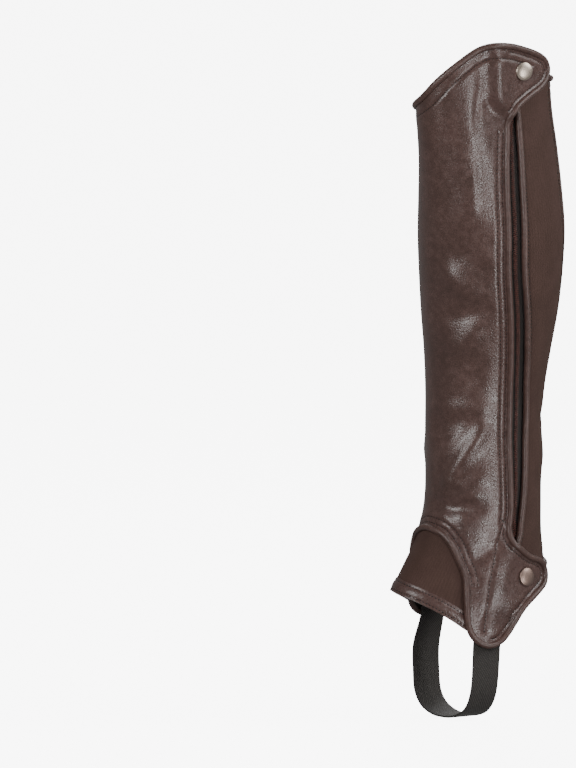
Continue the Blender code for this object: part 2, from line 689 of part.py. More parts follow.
def zip_pieces(tape, metal):
    """Two tapes with their facings, and the slider at the head of the zip with its pull."""
    low, high = LINING_INNER, LINING_OUTER

    def line(off):
        return along_zip(ZIP_FOOT, ZIP_HEAD, off)

    ribbon("zip_tape_front", line(-TAPE_OUTER), line(-TAPE_INNER), low, high, tape)
    ribbon("zip_tape_rear", line(TAPE_INNER), line(TAPE_OUTER), low, high, tape)
    ribbon("zip_facing_front", line(-FRONT_FACING_OUTER), line(-FACING_INNER), low, high, tape, across=1)
    ribbon("zip_facing_rear", line(FACING_INNER), line(REAR_FACING_OUTER), low, high, tape, across=1)
    angle = through(ZIP, (SLIDER_FOOT + SLIDER_HEAD) / 2)[0]
    length = SLIDER_HEAD - SLIDER_FOOT
    throat = ZIP_HEAD + PLATE_GAP - SLIDER_FOOT
    low_plate, high_plate = LINING_INNER - PLATE_GAP, LINING_OUTER + PLATE_GAP
    body = (
        (0, high_plate), (throat, high_plate), (throat, low_plate), (0, low_plate), (0, low_plate - PLATE),
        (length, low_plate - PLATE), (length, high_plate + PLATE), (0, high_plate + PLATE),
    )
    small_part("zip_slider", angle, SLIDER_FOOT, body, SLIDER_WIDTH, metal)
    pull_foot = SLIDER_FOOT + 4.0 - PULL_LENGTH
    under = high_plate + PLATE + PLATE_GAP
    pull = ((0, under), (PULL_LENGTH, under), (PULL_LENGTH, under + PLATE), (0, under + PLATE))
    pull_angle = through(ZIP, pull_foot + PULL_LENGTH * 0.7)[0]
    small_part("zip_pull", pull_angle, pull_foot, pull, PULL_WIDTH, metal)


def snap(name, spot, behind, metal):
    """A snap that holds a tab: the cap outside it, the stud under it and the ring inside the leg."""
    face = tab_lift(*spot) + OUTER_FACE
    seat = face + CAP_SEAT
    stud_foot, stud_head = STRETCH_OUTER + STUD_CLEARANCE, face - LEATHER - STUD_CLEARANCE
    disc(name + "_cap", spot, seat, seat + CAP_RIM, CAP_RADIUS, metal, dome=CAP_HEIGHT)
    disc(name + "_stud", spot, stud_foot, stud_head, STUD_RADIUS, metal)
    disc(name + "_ring", spot, behind - RING, behind, RING_RADIUS, metal, hole=RING_HOLE)


def top_facings(edge, top, leather):
    """The narrow leather facings inside the top edge."""
    low, high = LINING_INNER, LINING_OUTER
    near = EDGE_ROLL + SEAM_GAP
    far = near + FACING_WIDTH
    front = [p for p in edge if p[1] > TOP_EDGE_FOOT and abs(p[0]) < FRONT_FACING_ANGLE]
    ribbon("top_facing_front", aside(front, -far), aside(front, -near), low, high, leather, across=1)
    inner = [p for p in top if p[0] < INNER_FACING_FROM]
    ribbon("top_facing_inner", aside(inner, near), aside(inner, far), low, high, leather, across=1)


def build():
    for old in list(bpy.data.objects):
        bpy.data.objects.remove(old)
    leather, piping, stretch, tape, metal = (material(name) for name in COLOURS)
    edge, hem, top = shell_pieces(leather, piping, stretch)
    instep_pieces(edge, hem, leather, stretch)
    zip_pieces(tape, metal)
    top_facings(edge, top, leather)
    snap("top_snap", TOP_SNAP, LINING_INNER - RING_CLEARANCE, metal)
    snap("foot_snap", FOOT_SNAP, STRETCH_INNER - RING_CLEARANCE, metal)
    foot_strap(tape)


build()
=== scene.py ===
"""A riding half chap for the left leg, as it looks: waxed brown leather with rolled edges and stitched
rows, stretch fabric, a coil zip, two snaps and an elastic strap under the foot.

Lengths are in millimetres in the tables and in metres in the meshes. +Z is up, -Y the front of the leg
and +X its outer side. A spot is an angle round the leg, from its front towards its outer side, and a height.
"""

import math

import bmesh
import bpy
import numpy as np
from mathutils import Matrix, Vector, geometry, kdtree


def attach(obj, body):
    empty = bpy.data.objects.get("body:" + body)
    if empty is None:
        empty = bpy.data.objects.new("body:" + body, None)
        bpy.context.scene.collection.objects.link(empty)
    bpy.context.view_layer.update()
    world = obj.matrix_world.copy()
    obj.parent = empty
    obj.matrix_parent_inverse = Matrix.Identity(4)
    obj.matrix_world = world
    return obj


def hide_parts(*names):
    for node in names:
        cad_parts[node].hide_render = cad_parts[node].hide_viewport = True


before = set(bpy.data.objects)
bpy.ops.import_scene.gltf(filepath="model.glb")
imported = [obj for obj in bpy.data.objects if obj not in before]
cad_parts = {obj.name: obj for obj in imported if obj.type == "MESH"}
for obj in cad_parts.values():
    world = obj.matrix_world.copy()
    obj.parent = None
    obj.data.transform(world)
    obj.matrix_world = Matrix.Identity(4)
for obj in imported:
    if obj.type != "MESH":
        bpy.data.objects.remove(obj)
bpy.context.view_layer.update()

MM = 0.001

# Walls, as distances out from the form of the leg
OUTER_FACE, INNER_FACE = 0.0, -1.8
LEATHER_FACES = (INNER_FACE, OUTER_FACE)
STRETCH_OUTER, STRETCH_INNER = -0.3, -1.7
GUSSET_DROP, GUSSET_UNDER_BAND = 0.6, 2.0
LINING_OUTER, LINING_INNER = -2.7, -3.7
SEAM_GAP, LAYER_GAP, PATCH = 0.3, 0.3, 1.3

# Rolled leather edges: their radius and level, how far a panel's edge runs into one, and their rounded ends
EDGE_ROLL, ROLL_LEVEL, ROLL_SIDES = 2.6, 0.2, 16
TUCK = 1.2
END_REACH, END_SHARE = 0.3, 0.6

# How finely cloth is divided
GRID = 2.2
DEGREE_MM = 1.1

# The form of the leg, an oval at each height: height, centre x and y, half width, front, back and turn
SECTIONS = (
    (-360, 0.0, -5.0, 42.0, 130.0, 56.0, 0),
    (-330, -1.0, -5.0, 42.0, 119.0, 55.0, 0),
    (-300, -2.0, -5.0, 41.0, 105.0, 54.5, 1),
    (-276, -3.2, -5.0, 40.2, 91.0, 54.5, 2),
    (-252, -4.6, -5.0, 39.8, 76.0, 54.5, 5),
    (-228, -4.6, -5.0, 40.5, 62.0, 52.5, 10),
    (-205, -4.5, -4.5, 41.0, 55.5, 53.0, 15),
    (-180, -5.5, -3.8, 41.0, 54.2, 54.0, 17),
    (-148, -7.5, -2.5, 41.0, 54.5, 54.5, 17),
    (-116, -7.5, -0.8, 42.5, 55.5, 55.5, 17),
    (-84, -6.0, 0.6, 46.0, 58.3, 58.3, 17),
    (-52, -4.0, 1.2, 50.0, 62.4, 62.4, 17),
    (-20, -2.0, 1.0, 51.5, 66.5, 66.5, 17),
    (12, 0.0, 0.0, 51.5, 69.5, 69.5, 17),
    (44, 2.0, -2.5, 47.0, 71.5, 71.5, 17),
    (76, 4.0, -6.0, 42.0, 72.5, 72.5, 17),
    (113, 5.0, -11.0, 38.5, 73.0, 73.0, 17),
    (190, 6.5, -16.0, 38.0, 74.0, 73.0, 17),
)

# The largest folds of the leather, as in the solids, and the finer creases that only the looks have:
# angle, height, length, lean, breadth and rise
FOLDS = (
    (27, -164, 62, 42, 9, 1.8),
    (30, -186, 44, 8, 7, 1.0),
    (16, -203, 74, -2, 7, -1.8),
    (12, -140, 50, 6, 11, -1.5),
    (14, -45, 52, 6, 13, -1.2),
    (14, 4, 50, 8, 14, -1.0),
    (-75, -186, 56, -14, 9, -1.6),
    (-62, -168, 40, 24, 8, 1.3),
    (-120, -205, 60, 6, 9, -1.4),
    (-165, -190, 54, 0, 10, -1.5),
    (-150, -222, 56, -8, 8, 1.1),
    (137, -139, 44, 10, 5, -0.8),
    (137, -168, 52, 0, 16, 1.7),
)
CREASES = (
    # The calf: a soft ridge that bends forward, a hollow below it, then shelves that catch the light
    (38, 50, 40, 82, 4.0, 0.7),
    (22, 30, 40, 52, 8.0, 0.8),
    (30, 56, 50, 84, 9, 0.6),
    (34, 8, 36, 24, 12, -1.2),
    (29, -9, 34, -35, 9, -2.2),
    (19, -26, 34, -35, 9, 2.2),
    (26, -50, 40, 14, 7, -1.7),
    (21, -72, 36, 24, 9, 1.9),
    (17, -92, 40, 76, 8, 0.9),
    (33, -96, 22, 90, 10, -1.5),
    (48, 96, 80, 84, 4, -0.5),
    # Above the calf: the crease down from the top and the soft rise beside it
    (61, 140, 52, 86, 3.5, -1.3),
    (69, 134, 50, 86, 5.0, 0.9),
    (52, 124, 44, 76, 3.0, -0.7),
    (50, 112, 66, 86, 14, 1.3),
    # The bend over the instep: one sharp ridge, and short wrinkles below it
    (28, -127, 60, 0, 7.0, 1.2),
    (16, -152, 50, 44, 6.0, 0.9),
    (25, -167, 60, 46, 8.0, 1.7),
    (34, -194, 24, -30, 4.0, 0.7),
    (14, -186, 26, -8, 3.5, 0.6),
    (16, -197, 64, -2, 4.0, 0.9),
    (18, -207, 60, -2, 4.0, -0.9),
    (16, -215, 26, -34, 4.0, 0.7),
    (34, -218, 26, -44, 4.0, 0.6),
    # The outer tongue: a swell beside the snap, and puckers at its foot
    (80, -262, 30, 84, 5.0, 0.9),
    (71, -296, 16, 76, 1.8, 0.35),
    (75, -300, 18, 84, 1.8, -0.35),
    (79, -300, 18, 90, 1.8, 0.35),
    (83, -298, 18, 96, 1.8, -0.3),
    (87, -292, 16, 104, 1.8, 0.3),
    # The seat of the upper snap
    (104, 142, 26, 86, 8.0, 1.2),
    # The other sides
    (-90, -170, 30, 20, 4.0, 0.6),
    (-105, -214, 34, -8, 4.0, 0.6),
    (-140, -182, 30, 12, 4.0, 0.6),
    (-180, -212, 40, 6, 5.0, 0.7),
    (-205, -176, 30, -14, 4.0, 0.5),
    (-66, -208, 26, 14, 3.5, 0.6),
    (-150, -20, 44, 12, 10, -0.6),
    (-190, -60, 46, -10, 10, -0.7),
    (-84, 84, 40, 70, 7.0, 0.5),
)

# The zip, from its foot up: height, the angle of its middle and the gap between the rolled edges
ZIP = (
    (-276, 82.3, 0.8),
    (-262, 83.6, 0.8),
    (-250, 86.0, 0.8),
    (-240, 87.6, 1.2),
    (-229, 88.1, 4.2),
    (-213, 84.3, 7.7),
    (-182, 82.7, 12.0),
    (-138, 82.2, 14.5),
    (-105, 78.0, 12.8),
    (-40, 68.3, 11.1),
    (1, 66.1, 10.3),
    (43, 70.0, 11.1),
    (72, 74.4, 10.8),
    (96, 78.7, 8.2),
    (108, 81.3, 5.0),
    (118, 80.5, 6.0),
    (130, 78.0, 11.0),
    (143, 74.4, 12.0),
    (154, 73.4, 12.0),
)
ZIP_FOOT, ZIP_HEAD = -243.0, 145.0
# Each tape and its facing, as distances from the zip's middle
TAPE_INNER, TAPE_OUTER, FACING_INNER = 0.2, 16.0, 16.3
FRONT_FACING_OUTER, REAR_FACING_OUTER = 24.0, 22.0
# The heights over which the rolled edges follow the zip
FRONT_ZIP_EDGE, REAR_ZIP_EDGE = (-212.0, 92.0), (-275.0, 151.0)
SLIDER_FOOT = 134.5
# The coil: its pitch, the half size of a turn along, across and out, and where turns stand on the tape
COIL_PITCH, COIL_TURN = 1.7, (0.5, 1.5, 0.6)
COIL_ASIDE, COIL_LEVEL = 0.9, 0.7

# Outlines, each a path of spots, as in the solids
FRONT_SEAM = (
    (-57.3, 112), (-56.8, 77), (-56.4, 40), (-57.3, -6), (-57.9, -40), (-56.7, -91), (-55.2, -140),
    (-53, -184), (-57.5, -206), (-62, -224), (-66.4, -244), (-66.5, -256), (-60, -269),
)
BACK_SEAM = (
    (132, 133), (132, 110), (131.5, 83), (128, 51), (125, 20), (126.5, -12), (132, -50),
    (138, -100), (140, -160), (140, -210), (140, -258.5),
)
TOP_AND_TAB = (
    (-56.8, 112), (-37, 116), (-15, 121.5), (0, 128), (18, 140), (38, 153), (52, 161.5),
    (64, 165.8), (78, 164.5), (90, 160.5), (100, 156), (106.5, 151.5), (110, 145.5), (109.5, 139.5),
    (106, 133.5), (100.5, 129), (93, 124.5), (86, 120), (80.3, 115.5), (76.3, 109.5), (74.2, 102),
)
LOWER_TAB_AND_ARCH = (
    (78.8, -221), (80.4, -229), (83.6, -235.3), (88.8, -239.8), (95, -244.3), (101.5, -248),
    (108.5, -250.4), (115.5, -253), (121.5, -258), (124, -264.5), (122, -270.5), (116, -274.5),
    (108.5, -278.7), (100, -284.4), (94, -290.8), (90, -298), (87, -306.3), (83, -313.5),
    (78, -316.5), (73.5, -314.2), (69.3, -308.5), (66.3, -301), (64.4, -293), (62, -279.7),
    (58.3, -264.5), (52.5, -254), (40.8, -241.2), (29.5, -232.6), (18, -226.6), (5, -223.6),
    (-8.5, -222.5), (-22, -225.3), (-36, -231.5), (-46.5, -243), (-53.4, -255), (-58, -263), (-59.6, -269),
)
# The row of stitches down the outer tongue
TONGUE_ROW = (
    (72.6, -214), (72.4, -232), (72.5, -250), (73, -270), (73.8, -290), (74.8, -306),
)
TOP_BACK = (
    (-57.9, 112), (-71, 111.5), (-90, 113.5), (-117, 119), (-149, 126), (-168, 130), (-185, 131.5),
    (-205, 131.8), (-227.3, 132.9),
)
INNER_HEM = (
    (-59.8, -270), (-60.5, -282.3), (-64.3, -291), (-70, -296.6), (-75.6, -298.5), (-80, -296.2),
    (-85, -287.5), (-90.5, -277), (-99, -269.3), (-109.2, -264), (-122, -259.8), (-136.6, -256.8),
    (-155, -255), (-175, -254.8), (-200, -256.5), (-218.8, -258.4),
)
REAR_TOP = (
    (84, 154), (92, 154), (100, 152.6), (108, 150), (115, 146.5), (121, 142.5), (126.5, 137.5),
    (131.4, 132.7),
)
REAR_HEM = ((86.3, -277.4), (92, -276.8), (100, -275), (110, -270.8), (125, -263.6), (139.6, -258.5))
BAND_TOP = (
    (69, -294), (59.4, -285.3), (49.8, -278.6), (41.8, -274.2), (30.5, -269.5), (17.6, -265.8), (5, -263.5),
    (-8, -262.2), (-25, -263), (-38, -265.8), (-52, -270.8), (-63, -276.5),
)
BAND_DEPTH = 12.0
# Where the arch and the edges beside it end
ARCH_FOOT, INNER_ARCH_FOOT, INNER_ARCH_ANGLE = -306, -291, -66
OUTER_BAND_END, INNER_BAND_END = 50, -40
TOP_BINDING_ANGLES, HEM_BINDING_FROM = (85.5, 130.0), 90.5
# The leather facings inside the top, and the parts of the top edge that they follow
FACING_WIDTH = 10
TOP_EDGE_FOOT, FRONT_FACING_ANGLE, INNER_FACING_FROM = 108, 56.5, -58.5
PATCH_EDGE = (
    (-119, 68), (-105, 65.5), (-95, 56.5), (-87, 41), (-82, 14), (-81, -20), (-83, -73), (-87.5, -116),
    (-94.5, -157), (-104, -177), (-117, -187), (-131, -188), (-143, -181), (-151, -162), (-155, -130),
    (-156, -73), (-156, -20), (-157, 20), (-154.5, 46), (-146, 60), (-133, 67),
)

# The strap under the foot, as in the solids
STRAP_WIDTH, STRAP = 25.0, 1.6
OUTER_SEAT = ((77.5, -293, -3.1), (77.5, -304, -3.5), (77.5, -316, -3.6))
INNER_SEAT = ((-75.5, -301, -3.6), (-75.5, -290, -3.5), (-75.5, -279, -3.1))
STRAP_ROUTE = (
    (37.6, -32.0, -345), (34.5, -33.0, -360), (27.0, -34.0, -370), (14.0, -35.0, -375.2),
    (0.0, -35.5, -376.4), (-14.0, -36.0, -375.2), (-28.0, -36.0, -370), (-36.5, -36.0, -360),
    (-40.3, -35.0, -345), (-41.8, -34.0, -324),
)

# The two tabs stand off the zip: how far, over what run of degrees, and how much more at the upper one's end
TAB_LIFT, TAB_RUN, TAB_FLARE = 5.8, 16.0, 0.6
FLARE_ANGLES = (80.0, 112.0)
# The angle where each lift begins, high up and low down, and the heights between which it moves
UPPER_START, UPPER_TURN = (53.0, 68.0), (128.0, 102.0)
LOWER_START, LOWER_TURN = (73.5, 51.0), (-230.0, -256.0)
LOWER_RUN = (TAB_RUN, 34.0)
# The heights between which each lift comes in, and for the lower tab goes out again
UPPER_FADE = (98.0, 110.0)
LOWER_FADE, LOWER_END = (-220.0, -232.0), (-308.0, -280.0)

# Snaps: where they are, and a cap's rings, each as a scale and a rise from the one before
TOP_SNAP, FOOT_SNAP = (86.8, 143.8), (98.0, -264.0)
CAP_RADIUS, CAP_FOOT, CAP_SEAT, CAP_SIDES = 7.4, 0.96, 0.8, 56
CAP_RINGS = (
    (1.045, 0.25), (1.0, 0.35), (0.975, 0.35), (0.955, 0.2), (0.97, 0.05),
    (0.9, 0.35), (0.84, 0.3), (0.74, 0.25), (0.55, 0.18), (0.3, 0.06),
)

# Stitching: the thread, the groove that it lies in and the swell beside it
STITCH_PITCH, STITCH_LENGTH, THREAD, STITCH_LEVEL = 3.0, 1.8, 0.48, 0.05
ROW_STEP, FINE_STEP = 2.0, 0.7
GROOVE_DEPTH, GROOVE_HALF, TROUGH_SHARE = 0.7, 0.8, 0.8
SWELL_SHARE, SWELL_PLACE, SWELL_HALF = 0.35, 2.6, 1.3


# --- The form of the leg ---


def smooth_step(x):
    x = np.clip(x, 0.0, 1.0)
    return x * x * (3.0 - 2.0 * x)


def ease(x, start, end):
    """From nought at the start to one at the end, smoothly."""
    return smooth_step((x - start) / (end - start))


def between(pair, share):
    return pair[0] + (pair[1] - pair[0]) * share


def through(table, x):
    """The rows of a table read at each x by smooth interpolation; its first column rises."""
    table = np.array(table, float)
    x = np.asarray(x, float)
    places, values = table[:, 0], table[:, 1:]
    last = len(table) - 1
    i = np.clip(np.searchsorted(places, x) - 1, 0, last - 1)
    span = places[i + 1] - places[i]
    t = ((x - places[i]) / span)[..., None]

    def slope(k):
        low, high = np.maximum(k - 1, 0), np.minimum(k + 1, last)
        return (values[high] - values[low]) / (places[high] - places[low])[..., None] * span[..., None]

    return (
        (2 * t**3 - 3 * t**2 + 1) * values[i]
        + (t**3 - 2 * t**2 + t) * slope(i)
        + (3 * t**2 - 2 * t**3) * values[i + 1]
        + (t**3 - t**2) * slope(i + 1)
    )


def relief(spots, folds=FOLDS):
    """How far folds move the leather out at each spot."""
    out = np.zeros(len(spots))
    for angle, height, length, lean, breadth, rise in folds:
        u = ((spots[:, 0] - angle + 180) % 360 - 180) * DEGREE_MM
        v = spots[:, 1] - height
        turn = math.radians(lean)
        along = u * math.cos(turn) + v * math.sin(turn)
        across = v * math.cos(turn) - u * math.sin(turn)
        out += rise * np.exp(-((across / breadth) ** 2)) * smooth_step(1.5 - np.abs(along) / (length / 2))
    return out


def oval(spots):
    centre_x, centre_y, half_width, front, back, turn = through(SECTIONS, spots[:, 1]).T
    a, t = np.radians(spots[:, 0]), np.radians(turn)
    ahead = np.where(np.cos(a) > 0, front, back) * np.cos(a)
    outward = half_width * np.sin(a)
    return np.stack(
        (
            centre_x + ahead * np.sin(t) + outward * np.cos(t),
            centre_y - ahead * np.cos(t) + outward * np.sin(t),
            spots[:, 1],
        ),
        axis=1,
    )


def directions(spots):
    """At each spot, the steps on the form for one degree and for one millimetre up, and the way out."""
    turn, rise = np.array((0.5, 0.0)), np.array((0.0, 1.0))
    round_it = oval(spots + turn) - oval(spots - turn)
    up = (oval(spots + rise) - oval(spots - rise)) / 2
    out = np.cross(round_it, up)
    return round_it, up, out / np.linalg.norm(out, axis=1)[:, None]


def leg_points(spots, out=0.0):
    spots = np.asarray(spots, float)
    return oval(spots) + (out + relief(spots))[:, None] * directions(spots)[2]


def tab_lift(spots):
    """How far the front panel stands off the zip where its two tabs cross it."""
    angle, height = spots[:, 0], spots[:, 1]
    upper, low = height > 0, ease(height, *LOWER_TURN)
    start = np.where(upper, between(UPPER_START, ease(height, *UPPER_TURN)), between(LOWER_START, low))
    run = np.where(upper, TAB_RUN, between(LOWER_RUN, low))
    share = np.where(
        upper,
        ease(height, *UPPER_FADE) * (1.0 + TAB_FLARE * ease(angle, *FLARE_ANGLES)),
        ease(height, *LOWER_FADE) * ease(height, *LOWER_END),
    )
    return TAB_LIFT * share * smooth_step((angle - start) / run)


def flat(spots):
    return np.zeros(len(spots))


# --- Paths and patterns ---


def resample(path, step):
    """The path with points at even steps of about this length."""
    run = np.diff(path, axis=0) * (DEGREE_MM, 1.0)
    reach = np.concatenate(([0.0], np.cumsum(np.hypot(*run.T))))
    count = max(2, round(reach[-1] / step) + 1)
    at = np.linspace(0.0, reach[-1], count)
    return np.stack([np.interp(at, reach, path[:, k]) for k in (0, 1)], axis=1)


def smooth_path(points, step=None):
    """A smooth curve through the points of a table."""
    points = np.array(points, float)
    before = np.concatenate(([2 * points[0] - points[1]], points[:-2]))
    after = np.concatenate((points[2:], [2 * points[-1] - points[-2]]))
    a, b = points[:-1], points[1:]
    dense = []
    for k in range(12):
        t = k / 12
        dense.append(
            0.5 * (2 * a + (b - before) * t + (2 * before - 5 * a + 4 * b - after) * t**2
                   + (3 * a - before - 3 * b + after) * t**3)
        )
    dense = np.concatenate((np.stack(dense, axis=1).reshape(-1, 2), points[-1:]))
    return resample(dense, step or GRID)


def aside(path, distance):
    """The path moved sideways over the form, to its left for a distance above nought."""
    round_it, up, out = directions(path)
    ahead = np.gradient(path, axis=0)
    along = ahead[:, :1] * round_it + ahead[:, 1:] * up
    along /= np.linalg.norm(along, axis=1)[:, None]
    side = np.cross(out, along) * np.reshape(distance, (-1, 1))
    # Solved for each point in the two directions of the form
    a, b, c = (round_it**2).sum(1), (round_it * up).sum(1), (up**2).sum(1)
    p, q = (side * round_it).sum(1), (side * up).sum(1)
    size = a * c - b * b
    return path + np.stack(((p * c - q * b) / size, (q * a - p * b) / size), axis=1)


def along_zip(low, high, distance, step=11.0):
    """A line beside the zip's middle, from low to high, at a distance that may follow the gap's width."""
    count = max(2, round((high - low) / step) + 1)
    heights = np.linspace(low, high, count)
    angle, gap = through(ZIP, heights).T
    off = distance(gap) if callable(distance) else distance
    per_degree = np.linalg.norm(directions(np.stack((angle, heights), axis=1))[0], axis=1)
    return np.stack((angle + off / per_degree, heights), axis=1)


def crossing(a, b):
    """Where two paths meet, nearest to the end of a and the start of b: a place on each, and the point."""
    p, r = a[:-1, None], np.diff(a, axis=0)[:, None]
    q, s = b[None, :-1], np.diff(b, axis=0)[None]
    area = r[..., 0] * s[..., 1] - r[..., 1] * s[..., 0]
    area = np.where(np.abs(area) < 1e-12, np.inf, area)
    t = ((q - p)[..., 0] * s[..., 1] - (q - p)[..., 1] * s[..., 0]) / area
    u = ((q - p)[..., 0] * r[..., 1] - (q - p)[..., 1] * r[..., 0]) / area
    hits = np.argwhere((t >= 0) & (t <= 1) & (u >= 0) & (u <= 1))
    i = hits[:, 0].max()
    j = hits[hits[:, 0] == i, 1].min()
    return i, j, a[i] + (a[i + 1] - a[i]) * t[i, j]


def longer(path, by=8.0):
    """The path with both ends run on a little, so that it meets its neighbours."""
    first, last = path[0] - path[1], path[-1] - path[-2]
    return np.concatenate(
        ([path[0] + first / np.hypot(*first) * by], path, [path[-1] + last / np.hypot(*last) * by])
    )


def closed_outline(paths):
    """One loop from paths that follow each other, each cut off where it meets the next."""
    paths = [longer(path) for path in paths]
    for k in range(len(paths)):
        n = (k + 1) % len(paths)
        i, j, corner = crossing(paths[k], paths[n])
        paths[k] = np.concatenate((paths[k][: i + 1], [corner]))
        paths[n] = np.concatenate(([corner], paths[n][j + 1 :]))
    loop = np.concatenate([path[:-1] for path in paths])
    step = np.hypot(*((loop - np.roll(loop, 1, axis=0)) * (DEGREE_MM, 1.0)).T)
    return loop[step > 0.3]


def inside(points, loop):
    hit = np.zeros(len(points), bool)
    last = loop[-1]
    for here in loop:
        if here[1] != last[1]:
            spans = (here[1] > points[:, 1]) != (last[1] > points[:, 1])
            cross = (last[0] - here[0]) * (points[:, 1] - here[1]) / (last[1] - here[1]) + here[0]
            hit ^= spans & (points[:, 0] < cross)
        last = here
    return hit


def distances(points, places):
    """How far each point is from the nearest of the places, in millimetres."""
    scale = (DEGREE_MM, 1.0)
    tree = kdtree.KDTree(len(places))
    for i, place in enumerate(places * scale):
        tree.insert((*place, 0.0), i)
    tree.balance()
    return np.array([tree.find((*point, 0.0))[2] for point in points * scale])


def cut(outline, loops=(), lines=(), grid=None):
    """A panel's flat pattern: its spots, and its triangles. Loops and lines in it become edges."""
    grid = grid or GRID
    parts = [outline, *loops, *lines]
    edges, first = [], 0
    for k, part in enumerate(parts):
        closed = k <= len(loops)
        edges += [(first + i, first + (i + 1) % len(part)) for i in range(len(part) - (not closed))]
        first += len(part)
    fixed = np.concatenate(parts)
    low, high = outline.min(0), outline.max(0)
    rows = np.arange(low[1] + grid / 2, high[1], grid * 0.88)
    spots = []
    for k, y in enumerate(rows):
        x = np.arange(low[0] + (k % 2) * grid / 2 / DEGREE_MM, high[0], grid / DEGREE_MM)
        spots.append(np.stack((x, np.full(len(x), y)), axis=1))
    spots = np.concatenate(spots)
    spots = spots[inside(spots, outline)]
    spots = spots[distances(spots, fixed) > 0.5 * grid]
    spots = np.concatenate((fixed, spots)) * (DEGREE_MM, 1.0)
    found = geometry.delaunay_2d_cdt([Vector(p) for p in spots], edges, [], 0, 1e-6)
    spots = np.array([tuple(p) for p in found[0]]) / (DEGREE_MM, 1.0)
    triangles = np.array([tuple(tri) for tri in found[2]])
    return spots, triangles[inside(spots[triangles].mean(1), outline)]


def strip(left, right, across):
    """The pattern of a strip between two paths of the same number of points."""
    share = np.linspace(0.0, 1.0, across + 1)[None, :, None]
    spots = (left[:, None] + (right - left)[:, None] * share).reshape(-1, 2)
    triangles = []
    for i in range(len(left) - 1):
        for j in range(across):
            a = i * (across + 1) + j
            b = a + across + 1
            triangles += [(a, a + 1, b + 1), (a, b + 1, b)]
    return spots, np.array(triangles)


# --- Meshes ---


def new_piece(name, points, faces, material, uv=None, replaces=None):
    """A mesh object of points in millimetres, riding on the part and standing for its solid."""
    mesh = bpy.data.meshes.new(name)
    mesh.from_pydata((np.asarray(points) * MM).tolist(), [], [tuple(map(int, f)) for f in faces])
    if uv is not None:
        layer = mesh.uv_layers.new(name="Cloth")
        corners = np.empty(len(mesh.loops), np.int32)
        mesh.loops.foreach_get("vertex_index", corners)
        layer.data.foreach_set("uv", (np.asarray(uv)[corners] * MM).astype(np.float32).ravel())
    mesh.materials.append(material)
    mesh.update()
    piece = bpy.data.objects.new(name, mesh)
    bpy.context.scene.collection.objects.link(piece)
    for face in mesh.polygons:
        face.use_smooth = True
    mesh.set_sharp_from_angle(angle=math.radians(50))
    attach(piece, "root")
    if replaces:
        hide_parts(replaces)
    return piece


def wall(name, pattern, low, high, material, lift=flat, detail=flat, replaces=None, lining=None):
    """Wraps a flat pattern onto the leg as a closed wall, with the finer relief on its outer face and,
    where a lining is given, that material on its inner face."""
    spots, triangles = pattern
    used, triangles = np.unique(triangles, return_inverse=True)
    triangles = triangles.reshape(-1, 3)
    spots = spots[used]
    a, b, c = (spots[triangles[:, k]] for k in range(3))
    turned = (b - a)[:, 0] * (c - a)[:, 1] - (b - a)[:, 1] * (c - a)[:, 0] < 0
    triangles[turned] = triangles[turned][:, [0, 2, 1]]
    count, lifts = len(spots), lift(spots)
    points = np.concatenate(
        (leg_points(spots, high + lifts + detail(spots)), leg_points(spots, low + lifts))
    )
    sides = np.concatenate((triangles[:, [0, 1]], triangles[:, [1, 2]], triangles[:, [2, 0]]))
    known = {tuple(side) for side in sides.tolist()}
    rim = [(b, a, a + count, b + count) for a, b in sides.tolist() if (b, a) not in known]
    faces = [*triangles.tolist(), *(triangles[:, ::-1] + count).tolist(), *rim]
    uv = np.concatenate((spots, spots)) * (DEGREE_MM, 1.0)
    piece = new_piece(name, points, faces, material, uv, replaces)
    if lining:
        piece.data.materials.append(lining)
        for face in piece.data.polygons[len(triangles) : 2 * len(triangles)]:
            face.material_index = 1
    return piece


def roll(name, path, node, lift=flat):
    """A rolled leather edge along a path, closed with rounded ends."""
    centres = leg_points(path, ROLL_LEVEL + lift(path))
    run = np.gradient(centres, axis=0)
    run /= np.linalg.norm(run, axis=1)[:, None]
    reach = np.concatenate(([0.0], np.cumsum(np.linalg.norm(np.diff(centres, axis=0), axis=1))))
    # One more ring closes each end, drawn in and pushed out
    first = centres[0] - run[0] * EDGE_ROLL * END_REACH
    last = centres[-1] + run[-1] * EDGE_ROLL * END_REACH
    drawn_in = [EDGE_ROLL * END_SHARE]
    radii = np.concatenate((drawn_in, np.full(len(centres), EDGE_ROLL), drawn_in))
    centres = np.concatenate(([first], centres, [last]))
    run = np.concatenate(([run[0]], run, [run[-1]]))
    reach = np.concatenate(([0.0], reach, [reach[-1]]))
    sides = ROLL_SIDES
    side = np.cross(run[0], (0.3, 0.5, 0.8))
    points, uv = [], []
    for centre, along, r, far in zip(centres, run, radii, reach):
        side = side - (side @ along) * along
        side /= np.linalg.norm(side)
        other = np.cross(along, side)
        turn = 2 * np.pi * np.arange(sides) / sides
        points.append(centre + r * (np.cos(turn)[:, None] * side + np.sin(turn)[:, None] * other))
        uv.append(np.stack((turn * r, np.full(sides, far)), axis=1))
    faces = []
    for i in range(len(centres) - 1):
        for k in range(sides):
            a, b = i * sides + k, i * sides + (k + 1) % sides
            faces.append((a, b, b + sides, a + sides))
    faces.append(tuple(range(sides))[::-1])
    faces.append(tuple((len(centres) - 1) * sides + k for k in range(sides)))
    new_piece(name, np.concatenate(points), faces, ROLL_LEATHER, np.concatenate(uv), node)


def placed(point, ways, sizes):
    """A 4 x 4 matrix that puts a bead at a point, with a size along each of its three ways."""
    place = np.eye(4)
    for k in range(3):
        place[:3, k] = ways[k] * sizes[k]
    place[:3, 3] = point
    return place


